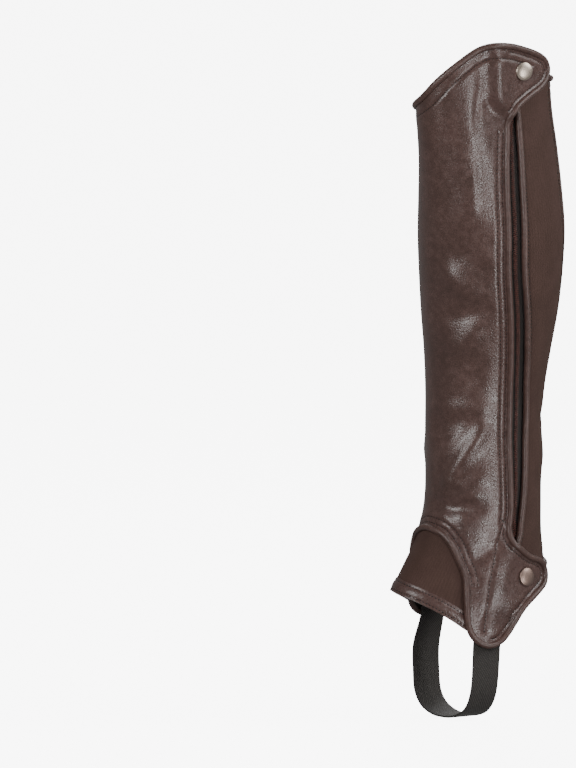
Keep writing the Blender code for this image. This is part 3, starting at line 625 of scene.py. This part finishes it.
def beads(name, places, material):
    """Many small rounded beads, joined into one piece. Each place is a matrix, in millimetres."""
    bpy.ops.mesh.primitive_uv_sphere_add(segments=6, ring_count=5, radius=1.0)
    bead = bpy.context.object
    points = np.array([v.co for v in bead.data.vertices])
    faces = [tuple(face.vertices) for face in bead.data.polygons]
    bpy.data.objects.remove(bead)
    all_points, all_faces = [], []
    for place in places:
        first = len(all_points) * len(points)
        all_points.append(points @ place[:3, :3].T + place[:3, 3])
        all_faces += [tuple(first + i for i in face) for face in faces]
    new_piece(name, np.concatenate(all_points), all_faces, material)


def rows_of(path, level, pitch, lift=flat, detail=flat):
    """Places at an even pitch along a path: the point, and the ways along, across and out."""
    path = resample(path, 0.4)
    line = leg_points(path, level + lift(path) + detail(path))
    reach = np.concatenate(([0.0], np.cumsum(np.linalg.norm(np.diff(line, axis=0), axis=1))))
    at = np.arange(pitch / 2, reach[-1], pitch)

    def read(places, table):
        return np.stack([np.interp(places, reach, column) for column in table.T], axis=1)

    points, spots = read(at, line), read(at, path)
    along = read(at + 0.5, line) - read(at - 0.5, line)
    along /= np.linalg.norm(along, axis=1)[:, None]
    across = np.cross(directions(spots)[2], along)
    across /= np.linalg.norm(across, axis=1)[:, None]
    return points, along, across, np.cross(along, across)


def stitch_places(path, lift, detail, level):
    """Where the stitches of a row lie, each a little sunk in the leather."""
    sizes = (STITCH_LENGTH / 2, THREAD, THREAD)
    row = rows_of(path, level + STITCH_LEVEL, STITCH_PITCH, lift, detail)
    return [placed(point, ways, sizes) for point, *ways in zip(*row)]


# --- Materials ---


def colour(code):
    """A sRGB hex colour as linear red, green, blue and alpha."""
    parts = [int(code[i : i + 2], 16) / 255 for i in (1, 3, 5)]
    return (*[p / 12.92 if p <= 0.04045 else ((p + 0.055) / 1.055) ** 2.4 for p in parts], 1.0)


def feed(tree, node, values=None, links=None):
    """Sets inputs of a node to values, and links sockets to others."""
    for key, value in (values or {}).items():
        node.inputs[key].default_value = value
    for key, source in (links or {}).items():
        tree.links.new(source, node.inputs[key])


def add(tree, kind, settings=None, values=None, links=None):
    """One node with its settings, its input values and the sockets that feed it."""
    node = tree.nodes.new(kind)
    for key, value in (settings or {}).items():
        setattr(node, key, value)
    feed(tree, node, values, links)
    return node


def new_material(name):
    """A material, its tree, its shader, and the socket that gives the place on the piece."""
    made = bpy.data.materials.new(name)
    made.use_nodes = True
    tree = made.node_tree
    return made, tree, tree.nodes["Principled BSDF"], add(tree, "ShaderNodeTexCoord").outputs["Object"]


def noise(tree, place, scale, detail=2.0, roughness=0.5):
    values = {"Scale": scale, "Detail": detail, "Roughness": roughness}
    return add(tree, "ShaderNodeTexNoise", None, values, {"Vector": place}).outputs


def maths(tree, operation, first, number, third=None):
    """A socket worked on with a number and, where it is given, a third socket."""
    links = {0: first} if third is None else {0: first, 2: third}
    return add(tree, "ShaderNodeMath", {"operation": operation}, {1: number}, links).outputs[0]


def weighed(tree, first, share, second):
    """A share of the first socket, and the second one added."""
    return maths(tree, "MULTIPLY_ADD", first, share, second)


def mapped(tree, source, given, wanted):
    """A socket moved from one range to another."""
    values = dict(zip(("From Min", "From Max", "To Min", "To Max"), (*given, *wanted)))
    return add(tree, "ShaderNodeMapRange", None, values, {"Value": source}).outputs[0]


def bump(tree, height, strength, distance):
    values = {"Strength": strength, "Distance": distance}
    return add(tree, "ShaderNodeBump", None, values, {"Height": height}).outputs[0]


def blend(tree, share, values, links=None):
    """Two colours mixed by a socket: the first is input 6 and the second input 7."""
    links = {0: share, **(links or {})}
    return add(tree, "ShaderNodeMix", {"data_type": "RGBA"}, values, links).outputs[2]


def bands(tree, cloth, pitch_mm, distortion, direction="X", values=None):
    """Waves across a cloth, one at every pitch."""
    values = {"Scale": 1000.0 / pitch_mm / 3.1416 / 2, "Distortion": distortion, **(values or {})}
    settings = {"bands_direction": direction}
    return add(tree, "ShaderNodeTexWave", settings, values, {"Vector": cloth}).outputs["Fac"]


def ramp(tree, source, stops):
    node = add(tree, "ShaderNodeValToRGB", links={"Fac": source})
    while len(node.color_ramp.elements) < len(stops):
        node.color_ramp.elements.new(0.5)
    for element, (place, code) in zip(node.color_ramp.elements, stops):
        element.position = place
        element.color = colour(code)
    return node.outputs["Color"]


def grained_leather(name, dark, mid, light, rough, grain_mm, depth):
    """Full-grain cowhide, drum-dyed and waxed: pebbles with fine creases between them that catch the light
    on their tops, the creases darkened with painted shade, a cloudy dye and a soft waxy shine."""
    made, tree, shader, place = new_material(name)
    warp = noise(tree, place, 380.0)["Color"]
    bent = add(tree, "ShaderNodeMix", {"data_type": "VECTOR"}, {0: 0.0006}, {4: place, 5: warp}).outputs[1]
    grain = {"Scale": 1000.0 / grain_mm, "Randomness": 0.95}
    pebbles = add(tree, "ShaderNodeTexVoronoi", None, grain, {"Vector": bent}).outputs["Distance"]
    fine = noise(tree, place, 1600.0, 3.0, 0.6)["Fac"]
    cloud = noise(tree, place, 28.0, 4.0, 0.6)["Fac"]
    patches = noise(tree, place, 190.0, 3.0, 0.65)["Fac"]
    shade = weighed(tree, cloud, 0.45, maths(tree, "MULTIPLY", patches, 0.55))
    base = ramp(tree, shade, ((0.36, dark), (0.5, mid), (0.64, light)))
    # Painted shade: the creases between the pebbles are darkened towards the dark colour
    valley_shade = mapped(tree, pebbles, (0.42, 0.7), (0.0, 0.55))
    dome = maths(tree, "POWER", pebbles, 2.0)
    height = weighed(tree, dome, -1.0, maths(tree, "MULTIPLY", fine, 0.3))
    feed(tree, shader, {"IOR": 1.5, "Specular IOR Level": 0.55}, {
        "Base Color": blend(tree, valley_shade, {7: colour(dark)}, {6: base}),
        "Normal": bump(tree, height, 1.0, depth),
        "Roughness": mapped(tree, patches, (0.3, 0.7), (rough - 0.06, rough + 0.1)),
    })
    return made


def knitted_stretch(name, dark, light, rib_mm=1.5, loop_mm=0.8):
    """Nylon and elastane warp knit: fine ribs that run down the leg, matt and even. The real ribs are half
    as wide, and are drawn coarser here so that they show."""
    made, tree, shader, place = new_material(name)
    cloth = add(tree, "ShaderNodeUVMap", {"uv_map": "Cloth"}).outputs[0]
    ribs = bands(tree, cloth, rib_mm, 0.6, values={"Detail": 1.0, "Detail Scale": 3.0})
    knit = weighed(tree, bands(tree, cloth, loop_mm, 0.8, "Y"), 0.4, ribs)
    tone = weighed(tree, knit, 0.25, noise(tree, place, 60.0, 4.0)["Fac"])
    feed(tree, shader, {"Roughness": 0.9, "Specular IOR Level": 0.25}, {
        "Base Color": ramp(tree, tone, ((0.3, dark), (1.3, light))),
        "Normal": bump(tree, knit, 0.35, 0.0002),
    })
    return made


def woven_webbing(name, dark, light, pitch_mm=0.9):
    """Black polyester tape, woven in a close twill: small slanting ridges, matt."""
    made, tree, shader, _ = new_material(name)
    cloth = add(tree, "ShaderNodeUVMap", {"uv_map": "Cloth"}).outputs[0]
    slant = {"Rotation": (0.0, 0.0, math.radians(38))}
    turned = add(tree, "ShaderNodeMapping", None, slant, {"Vector": cloth}).outputs[0]
    twill = bands(tree, turned, pitch_mm, 0.4)
    weave = weighed(tree, bands(tree, cloth, pitch_mm / 2, 0.4), 0.5, twill)
    feed(tree, shader, {"Roughness": 0.78, "Sheen Weight": 0.15}, {
        "Base Color": ramp(tree, weave, ((0.2, dark), (1.2, light))),
        "Normal": bump(tree, weave, 0.8, 0.0003),
    })
    return made


def bonded_thread(name, code):
    """Bonded nylon sewing thread, dyed to match: smooth with a low shine."""
    made, tree, shader, place = new_material(name)
    dye = blend(tree, noise(tree, place, 300.0)["Fac"], {6: colour(code), 7: colour("#1E1512")})
    feed(tree, shader, {"Roughness": 0.5}, {"Base Color": dye})
    return made


def plated_metal(name, code, rough, tarnish):
    """Pressed brass with an antique nickel plate, tumbled dull: fine scuffs and a darker cast in places."""
    made, tree, shader, place = new_material(name)
    scuffs = noise(tree, place, 900.0, 5.0, 0.7)["Fac"]
    cast = noise(tree, place, 240.0, 3.0)["Fac"]
    feed(tree, shader, {"Metallic": 1.0}, {
        "Base Color": blend(tree, cast, {6: colour(code), 7: colour(tarnish)}),
        "Roughness": mapped(tree, scuffs, (0.0, 1.0), (rough - 0.08, rough + 0.1)),
        "Normal": bump(tree, scuffs, 0.25, 0.00004),
    })
    return made



LEATHER = grained_leather("waxed full-grain leather", "#483530", "#533D38", "#604944", 0.28, 1.3, 0.00013)
ROLL_LEATHER = grained_leather("rolled edge leather", "#47342F", "#523C36", "#5E4640", 0.38, 1.1, 0.00014)
PATCH_LEATHER = grained_leather("smooth grip leather", "#45322D", "#4E3933", "#59423C", 0.44, 1.0, 0.00010)
LINING = grained_leather("brushed lining", "#1C1816", "#231E1B", "#2B2522", 0.85, 0.8, 0.00008)
STRETCH = knitted_stretch("knitted stretch fabric", "#45332D", "#503C36")
TAPE = woven_webbing("woven zip tape", "#1A1613", "#2C2622")
WEBBING = woven_webbing("woven elastic webbing", "#191613", "#332E2A")
THREAD_BROWN = bonded_thread("bonded brown thread", "#1E1310")
COIL = bonded_thread("moulded nylon coil", "#7C4A40")
CAP_METAL = plated_metal("antique nickel plate", "#C9BCAF", 0.36, "#A39488")
FOOT_METAL = plated_metal("worn antique plate", "#A08A80", 0.42, "#86726A")
DARK_METAL = plated_metal("dark zip metal", "#6A5A54", 0.42, "#4C403C")


# --- Cloth ---


def groove_lines(paths):
    """The lines that a stitched row needs in a pattern: its middle and a line on each side."""
    lines = []
    for path in paths:
        path = resample(path, ROW_STEP)
        lines += [path, aside(path, GROOVE_HALF), aside(path, -GROOVE_HALF)]
    return lines


def grooves(paths, depth):
    """Relief for stitched rows: a narrow trough under the thread and a soft swell beside it."""
    places = np.concatenate([resample(path, FINE_STEP) for path in paths])

    def detail(spots):
        near = distances(spots, places)
        trough = -depth * np.exp(-((near / (GROOVE_HALF * TROUGH_SHARE)) ** 2))
        swell = SWELL_SHARE * depth * np.exp(-(((near - SWELL_PLACE) / SWELL_HALF) ** 2))
        return trough + swell

    return detail


def edge_fall(outline, fall):
    """Relief that rounds a panel's cut edge down, within about a millimetre of it."""
    places = resample(np.concatenate((outline, outline[:1])), FINE_STEP)
    return lambda spots: -fall * np.exp(-(distances(spots, places) ** 2))


def sewn_rows(outline, paths):
    """Rows of stitches along paths, each kept to what lies on the panel."""
    rows = [resample(path, ROW_STEP) for path in paths]
    return [row[inside(row, outline)] for row in rows]


def sewn_wall(name, outline, rows, faces, material, node, lift=flat, depth=GROOVE_DEPTH, fall=0.0,
              loops=(), lines=(), grid=None, lining=None):
    """A panel with its rows of stitches sunk in and, where a fall is given, its cut edge rounded down.
    Gives the piece, and where its stitches lie."""
    details = [grooves(rows, depth)]
    if fall:
        details.append(edge_fall(outline, fall))

    def detail(spots):
        return sum(one(spots) for one in details)

    pattern = cut(outline, loops, [*lines, *groove_lines(rows)], grid)
    piece = wall(name, pattern, *faces, material, lift, detail, node, lining)
    return piece, [place for row in rows for place in stitch_places(row, lift, detail, faces[1])]


def creased(spots):
    """The finer creases move a panel's whole wall."""
    return relief(spots, CREASES)


def front_lift(spots):
    return tab_lift(spots) + creased(spots)


def part_of(path, keep):
    """The longest run of a path's points whose angles and heights pass a test."""
    good = np.concatenate(([False], keep(path[:, 0], path[:, 1]), [False])).astype(int)
    starts, ends = np.flatnonzero(np.diff(good) == 1), np.flatnonzero(np.diff(good) == -1)
    k = np.argmax(ends - starts)
    return path[starts[k] : ends[k]]


def build_front(edge, front_seam, gap, half):
    """The front panel with its rolled edge. Its rows follow the zip, the tongue, the top, the arch, the
    seam and both tabs."""
    on_zip = part_of(edge, lambda a, h: (h < 96) & (h > -222) & (a > 50))
    on_top = part_of(edge, lambda a, h: (h > 111) & (a < 100) & (h > 112 + 0.2 * (a + 57)))
    on_tab = part_of(edge, lambda a, h: (h > 104) & (a > 76) & (h < 165))
    on_arch = part_of(edge, lambda a, h: (a < 60) & (h < -222))
    on_low_tab = part_of(edge, lambda a, h: (h < -224) & (a > 79.2))
    outline = closed_outline([aside(edge, -gap), aside(front_seam, half)[::-1]])
    rows = sewn_rows(outline, (
        aside(on_zip, -3.8),
        np.concatenate((aside(on_zip, -9.2), smooth_path(TONGUE_ROW)[1:])),
        aside(on_top, -10.2),
        aside(on_arch, -4.6),
        aside(on_arch, -9.4),
        aside(front_seam, 2.2)[3:-10],
        aside(on_tab, -4.4),
        aside(on_low_tab, -4.6),
    ))
    front, stitches = sewn_wall(
        "front_leather", outline, rows, LEATHER_FACES, LEATHER, "front_panel", front_lift, lining=LINING
    )
    roll("front_rolled_edge", edge, "front_edge_roll", tab_lift)
    return stitches


def build_inner(top, hem, front_seam, back_seam, gap, half):
    """The inner panel with its grip patch and the rolled edges of its top and hem."""
    turned = back_seam - (360.0, 0.0)
    outline = closed_outline(
        [aside(top, gap), aside(turned, half), aside(hem, -gap)[::-1], aside(front_seam, -half)[::-1]]
    )
    patch_loop = smooth_path([*PATCH_EDGE, PATCH_EDGE[0]])[:-1]
    patch_closed = np.concatenate((patch_loop, patch_loop[:1]))
    rows = sewn_rows(outline, (
        aside(front_seam, -2.2)[3:-10],
        aside(top, gap + 7.0)[6:-4],
        aside(hem, -(gap + 7.0))[20:-4],
        aside(turned, 2.2)[4:-4],
        aside(patch_closed, 2.0),
    ))
    inner, side_stitches = sewn_wall(
        "inner_leather", outline, rows, LEATHER_FACES, LEATHER, "inner_panel", creased,
        loops=[patch_loop], lining=LINING,
    )
    rows = [resample(aside(patch_closed, -depth), ROW_STEP) for depth in (2.2, 9.5)]
    low = OUTER_FACE + LAYER_GAP
    patch, patch_stitches = sewn_wall(
        "calf_grip_patch", patch_loop, rows, (low, low + PATCH), PATCH_LEATHER, "grip_patch",
        fall=0.8, lines=[aside(patch_closed, -0.9)],
    )
    roll("top_rolled_edge", top, "top_edge_roll")
    roll("hem_rolled_edge", hem, "hem_edge_roll")
    return side_stitches + patch_stitches


def build_stretch(back_seam, gap, half):
    """The stretch panel with its rolled edges."""
    rear_top, rear_hem = smooth_path(REAR_TOP), smooth_path(REAR_HEM)
    rear_edge = along_zip(*REAR_ZIP_EDGE, lambda opening: opening / 2 + EDGE_ROLL, step=9.0)
    rear_edge = resample(rear_edge, GRID)
    outline = closed_outline(
        [aside(rear_top, -gap), aside(back_seam, -half), aside(rear_hem, gap)[::-1], aside(rear_edge, -gap)]
    )
    rows = sewn_rows(outline, (aside(rear_edge, -4.6)[4:-4], aside(back_seam, -2.4)[4:-4]))
    stretch, stitches = sewn_wall(
        "calf_stretch", outline, rows, (STRETCH_INNER, STRETCH_OUTER), STRETCH, "stretch_panel", depth=0.3
    )
    start, end = TOP_BINDING_ANGLES
    bound_top = rear_top[(rear_top[:, 0] > start) & (rear_top[:, 0] < end)]
    roll("rear_rolled_edge", rear_edge, "rear_edge_roll")
    roll("stretch_top_roll", bound_top, "stretch_top_binding")
    roll("stretch_hem_roll", rear_hem[rear_hem[:, 0] > HEM_BINDING_FROM], "stretch_hem_binding")
    return stitches


def build_instep(edge, hem, gap, half):
    """The stretch fabric over the instep, and the leather band along its foot."""
    start = np.flatnonzero(edge[:, 1] < ARCH_FOOT)[-1]
    low_hem = hem[(hem[:, 1] > INNER_ARCH_FOOT) & (hem[:, 0] > INNER_ARCH_ANGLE)]
    # Both pieces of the instep end at the same depth under the roll as the panels beside them
    arch = aside(np.concatenate((edge[start:-1], low_hem)), gap)
    band = smooth_path(BAND_TOP)
    # The gusset runs on a little under the band, so that no light shows between them
    outline = closed_outline([arch, aside(band, GUSSET_UNDER_BAND)[::-1]])
    gusset = wall("instep_stretch", cut(outline), STRETCH_INNER - GUSSET_DROP, STRETCH_OUTER - GUSSET_DROP,
                  STRETCH, replaces="instep_gusset")
    outer_end, inner_end = arch[arch[:, 0] > OUTER_BAND_END], arch[arch[:, 0] < INNER_BAND_END]
    outline = closed_outline([outer_end, aside(band, half), inner_end, aside(band, BAND_DEPTH)[::-1]])
    rows = sewn_rows(outline, (aside(band, 2.4), aside(band, BAND_DEPTH - 2.2)))
    strip_piece, stitches = sewn_wall(
        "instep_leather_band", outline, rows, LEATHER_FACES, LEATHER, "instep_band",
        depth=0.6, fall=0.5, grid=1.8,
    )
    return stitches


def build_facing(name, path, near, far, node):
    """A narrow leather facing inside the top."""
    pattern = strip(aside(path, near), aside(path, far), 4)
    return wall(name, pattern, LINING_INNER, LINING_OUTER, PATCH_LEATHER, replaces=node)


def build_cloth():
    gap, half = EDGE_ROLL - TUCK, SEAM_GAP / 2
    zip_edge = along_zip(*FRONT_ZIP_EDGE, lambda opening: -opening / 2 - EDGE_ROLL)[::-1]
    edge = smooth_path([*TOP_AND_TAB, *zip_edge.tolist(), *LOWER_TAB_AND_ARCH])
    front_seam, back_seam = smooth_path(FRONT_SEAM), smooth_path(BACK_SEAM)
    top, hem = smooth_path(TOP_BACK), smooth_path(INNER_HEM)
    stitches = build_front(edge, front_seam, gap, half)
    stitches += build_inner(top, hem, front_seam, back_seam, gap, half)
    stitches += build_stretch(back_seam, gap, half)
    stitches += build_instep(edge, hem, gap, half)
    middle = len(stitches) // 2
    beads("stitching_1", stitches[:middle], THREAD_BROWN)
    beads("stitching_2", stitches[middle:], THREAD_BROWN)

    reach = FRONT_FACING_ANGLE
    front_top = part_of(edge, lambda a, h: (h > TOP_EDGE_FOOT) & (a > -reach) & (a < reach))
    inner_top = top[top[:, 0] < INNER_FACING_FROM]
    facing = build_facing("front_top_facing", front_top, -gap - FACING_WIDTH, -gap, "top_facing_front")
    facing = build_facing("inner_top_facing", inner_top, gap, gap + FACING_WIDTH, "top_facing_inner")


def build_zip():
    """Tapes, facings and the coil that runs down the gap between the rolled edges."""
    for name, left, right, node in (
        ("front_zip_tape", -TAPE_OUTER, -TAPE_INNER, "zip_tape_front"),
        ("rear_zip_tape", TAPE_INNER, TAPE_OUTER, "zip_tape_rear"),
        ("front_zip_facing", -FRONT_FACING_OUTER, -FACING_INNER, "zip_facing_front"),
        ("rear_zip_facing", FACING_INNER, REAR_FACING_OUTER, "zip_facing_rear"),
    ):
        sides = [along_zip(ZIP_FOOT, ZIP_HEAD, side, GRID) for side in (left, right)]
        tape = wall(name, strip(*sides, 5), LINING_INNER, LINING_OUTER, TAPE, replaces=node)
    middle = along_zip(ZIP_FOOT, SLIDER_FOOT - 1.0, 0.0, 2.0)
    places = []
    turns = zip(*rows_of(middle, LINING_OUTER + COIL_LEVEL, COIL_PITCH / 2))
    for k, (point, along, across, out) in enumerate(turns):
        side = 1.0 if k % 2 else -1.0
        places.append(placed(point + across * COIL_ASIDE * side, (along, across, out), COIL_TURN))
    beads("zip_coil", places, COIL)


def build_strap():
    """Elastic webbing with ribs along it, under the foot."""
    across = np.linspace(-0.5, 0.5, 13) * STRAP_WIDTH

    def seat(angle, height, out):
        spot = np.array(((angle, height),), float)
        step = math.copysign(1.0, angle) / np.linalg.norm(directions(spot)[0])
        spots = np.stack((angle + across * step, np.full(len(across), height)), axis=1)
        return leg_points(spots, out + STRAP / 2), leg_points(spots, out - STRAP / 2)

    free = np.array(STRAP_ROUTE)
    ends = [leg_points((spot[:2],), spot[2]) for spot in (OUTER_SEAT[-1], INNER_SEAT[0])]
    route = np.concatenate((ends[0], free, ends[1]))
    rows = [seat(*spot) for spot in OUTER_SEAT]
    for i, middle in enumerate(free):
        run = route[i + 2] - route[i]
        wide = np.array((0.0, 1.0, 0.0))
        wide = wide - run * (wide @ run) / (run @ run)
        wide /= np.linalg.norm(wide)
        thick = np.cross(run, wide)
        thick *= STRAP / 2 / np.linalg.norm(thick)
        rows.append((middle + across[:, None] * wide + thick, middle + across[:, None] * wide - thick))
    rows += [seat(*spot) for spot in INNER_SEAT]
    rings = np.stack([np.concatenate((outer, inner[::-1])) for outer, inner in rows])
    # Smooth the run between the rows of the table
    at = np.arange(len(rings))
    fine = np.linspace(0, len(rings) - 1, (len(rings) - 1) * 6 + 1)
    table = np.concatenate((at[:, None], rings.reshape(len(rings), -1)), axis=1)
    rings = through(table, fine).reshape(len(fine), -1, 3)
    size = rings.shape[1]
    faces = []
    for i in range(len(rings) - 1):
        for k in range(size):
            a, b = i * size + k, i * size + (k + 1) % size
            faces.append((a, a + size, b + size, b))
    faces.append(tuple(range(size)))
    faces.append(tuple((len(rings) - 1) * size + k for k in range(size))[::-1])
    reach = np.concatenate(([0.0], np.cumsum(np.linalg.norm(np.diff(rings[:, 6], axis=0), axis=1))))
    sideways = np.tile(np.concatenate((across, across[::-1])), len(rings))
    uv = np.stack((sideways, np.repeat(reach, size)), axis=1)
    strap = new_piece("under_foot_elastic", rings.reshape(-1, 3), faces, WEBBING, uv, "foot_strap")


# --- Metal ---


def snap_cap(name, spot, node, material, turned, raised):
    """A domed cap with a rolled rim: a disc drawn up ring by ring, then set on the tab, turned a few
    degrees to the front as the leather pulls it."""
    bpy.ops.object.select_all(action="DESELECT")
    bpy.ops.mesh.primitive_circle_add(
        vertices=CAP_SIDES, radius=CAP_RADIUS * CAP_FOOT * MM, fill_type="NGON"
    )
    cap = bpy.context.object
    bpy.ops.object.mode_set(mode="EDIT")
    bpy.ops.mesh.select_all(action="SELECT")
    for scale, rise in CAP_RINGS:
        bpy.ops.mesh.extrude_region_move(TRANSFORM_OT_translate={"value": (0.0, 0.0, rise * MM)})
        bpy.ops.transform.resize(value=(scale, scale, 1.0))
    bpy.ops.object.mode_set(mode="OBJECT")
    spots = np.array((spot,), float)
    out = directions(spots)[2][0]
    pulled = Matrix.Rotation(math.radians(-turned), 4, "Z")
    turn = pulled @ Vector(out).to_track_quat("Z", "Y").to_matrix().to_4x4()
    seat = oval(spots)[0] + out * (tab_lift(spots)[0] + OUTER_FACE + CAP_SEAT + raised)
    cap.data.transform(Matrix.Translation(Vector(seat * MM)) @ turn)
    mesh = bmesh.new()
    mesh.from_mesh(cap.data)
    bmesh.ops.recalc_face_normals(mesh, faces=mesh.faces)
    mesh.to_mesh(cap.data)
    mesh.free()
    for face in cap.data.polygons:
        face.use_smooth = True
    cap.data.set_sharp_from_angle(angle=math.radians(60))
    cap.name = name
    cap.data.materials.append(material)
    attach(cap, "root")
    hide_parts(node)


def dress_kept_nodes():
    """The solids that show only in part keep their shape and take the dark metal."""
    for node in (
        "zip_slider", "zip_pull", "top_snap_stud", "top_snap_ring", "foot_snap_stud", "foot_snap_ring",
    ):
        solid = bpy.data.objects[node]
        solid.data.materials.clear()
        solid.data.materials.append(DARK_METAL)


# --- Stage ---

FLOOR_HEIGHT = -378.5
FLOOR_GLOW, ROOM_LIGHT, ROOM_SEEN = 7.5, 0.25, 8.0
LIT_POINT = (0.0, 0.0, -0.1)
# Name, azimuth, elevation, distance, size and power
SOFTBOXES = (
    ("key softbox", 103, -10, 5.0, (0.50, 1.6), 76.0),
    ("front softbox", 29, 20, 1.8, (1.0, 0.6), 18.0),
    ("side softbox", 138, 32, 1.8, (1.0, 1.0), 18.0),
    ("rear softbox", 235, 48, 1.8, (0.8, 0.8), 16.0),
)


def view_directions(azimuth, elevation):
    a, e = math.radians(azimuth), math.radians(elevation)
    toward = Vector((math.sin(a) * math.cos(e), -math.cos(a) * math.cos(e), math.sin(e)))
    right = Vector((math.cos(a), math.sin(a), 0.0))
    return toward, right, toward.cross(right)


def area_light(name, azimuth, elevation, distance, size, power):
    light = bpy.data.lights.new(name, "AREA")
    light.shape = "RECTANGLE"
    light.size, light.size_y = size
    light.energy = power
    lamp = bpy.data.objects.new(name, light)
    bpy.context.scene.collection.objects.link(lamp)
    toward = view_directions(azimuth, elevation)[0]
    lamp.location = Vector(LIT_POINT) + toward * distance
    lamp.rotation_euler = toward.to_track_quat("Z", "Y").to_euler()
    lamp.visible_camera = False


def build_stage():
    """A white floor and a white room that the camera sees, with the room's light kept low on the leather."""
    bpy.ops.mesh.primitive_plane_add(size=40.0, location=(0.0, 0.0, FLOOR_HEIGHT * MM))
    floor = bpy.context.object
    floor.name = "floor"
    white, tree, shader, _ = new_material("white studio floor")
    feed(tree, shader, {"Base Color": colour("#F4F4F4"), "Roughness": 0.9})
    feed(tree, shader, {"Emission Color": (1.0, 1.0, 1.0, 1.0), "Emission Strength": FLOOR_GLOW})
    floor.data.materials.append(white)
    # The floor's own brightness stays off the leather, as a black flag beside it would keep it
    floor.visible_diffuse = False
    floor.visible_glossy = False
    # A glass table: the key softbox stands lower than the table's top and shines through it
    floor.visible_shadow = False
    world = bpy.data.worlds.new("studio")
    bpy.context.scene.world = world
    world.use_nodes = True
    tree = world.node_tree
    backdrop = tree.nodes["Background"]
    backdrop.inputs["Color"].default_value = (1.0, 1.0, 1.0, 1.0)
    seen = add(tree, "ShaderNodeLightPath").outputs["Is Camera Ray"]
    strength = mapped(tree, seen, (0.0, 1.0), (ROOM_LIGHT, ROOM_SEEN))
    feed(tree, backdrop, links={"Strength": strength})
    for softbox in SOFTBOXES:
        area_light(*softbox)


# The camera: where it stands, and where the origin falls in the picture
CAMERA_AZIMUTH, CAMERA_ELEVATION, CAMERA_DISTANCE = 55.0, 6.0, 12.0
PICTURE_WIDTH, PICTURE_HEIGHT = 576, 768
ORIGIN_PIXEL = (491.0, 245.0)
PIXELS_PER_MM = 1.25


def build_camera():
    toward, right, up = view_directions(CAMERA_AZIMUTH, CAMERA_ELEVATION)
    camera = bpy.data.objects.new("camera", bpy.data.cameras.new("camera"))
    bpy.context.scene.collection.objects.link(camera)
    camera.location = toward * CAMERA_DISTANCE
    across = (PICTURE_WIDTH / 2 - ORIGIN_PIXEL[0]) / PIXELS_PER_MM * MM
    above = (ORIGIN_PIXEL[1] - PICTURE_HEIGHT / 2) / PIXELS_PER_MM * MM
    aim = right * across + up * above
    camera.rotation_euler = (camera.location - aim).to_track_quat("Z", "Y").to_euler()
    width = PICTURE_WIDTH / PIXELS_PER_MM * MM
    camera.data.sensor_fit = "HORIZONTAL"
    camera.data.lens = camera.data.sensor_width * (camera.location - aim).length / width
    camera.data.clip_end = 100.0
    bpy.context.scene.camera = camera


bpy.ops.object.select_all(action="DESELECT")
build_camera()
build_stage()
build_cloth()
build_zip()
build_strap()
snap_cap("top_cap", TOP_SNAP, "top_snap_cap", CAP_METAL, 21.0, 1.0)
snap_cap("foot_cap", FOOT_SNAP, "foot_snap_cap", FOOT_METAL, 4.0, 0.0)
dress_kept_nodes()
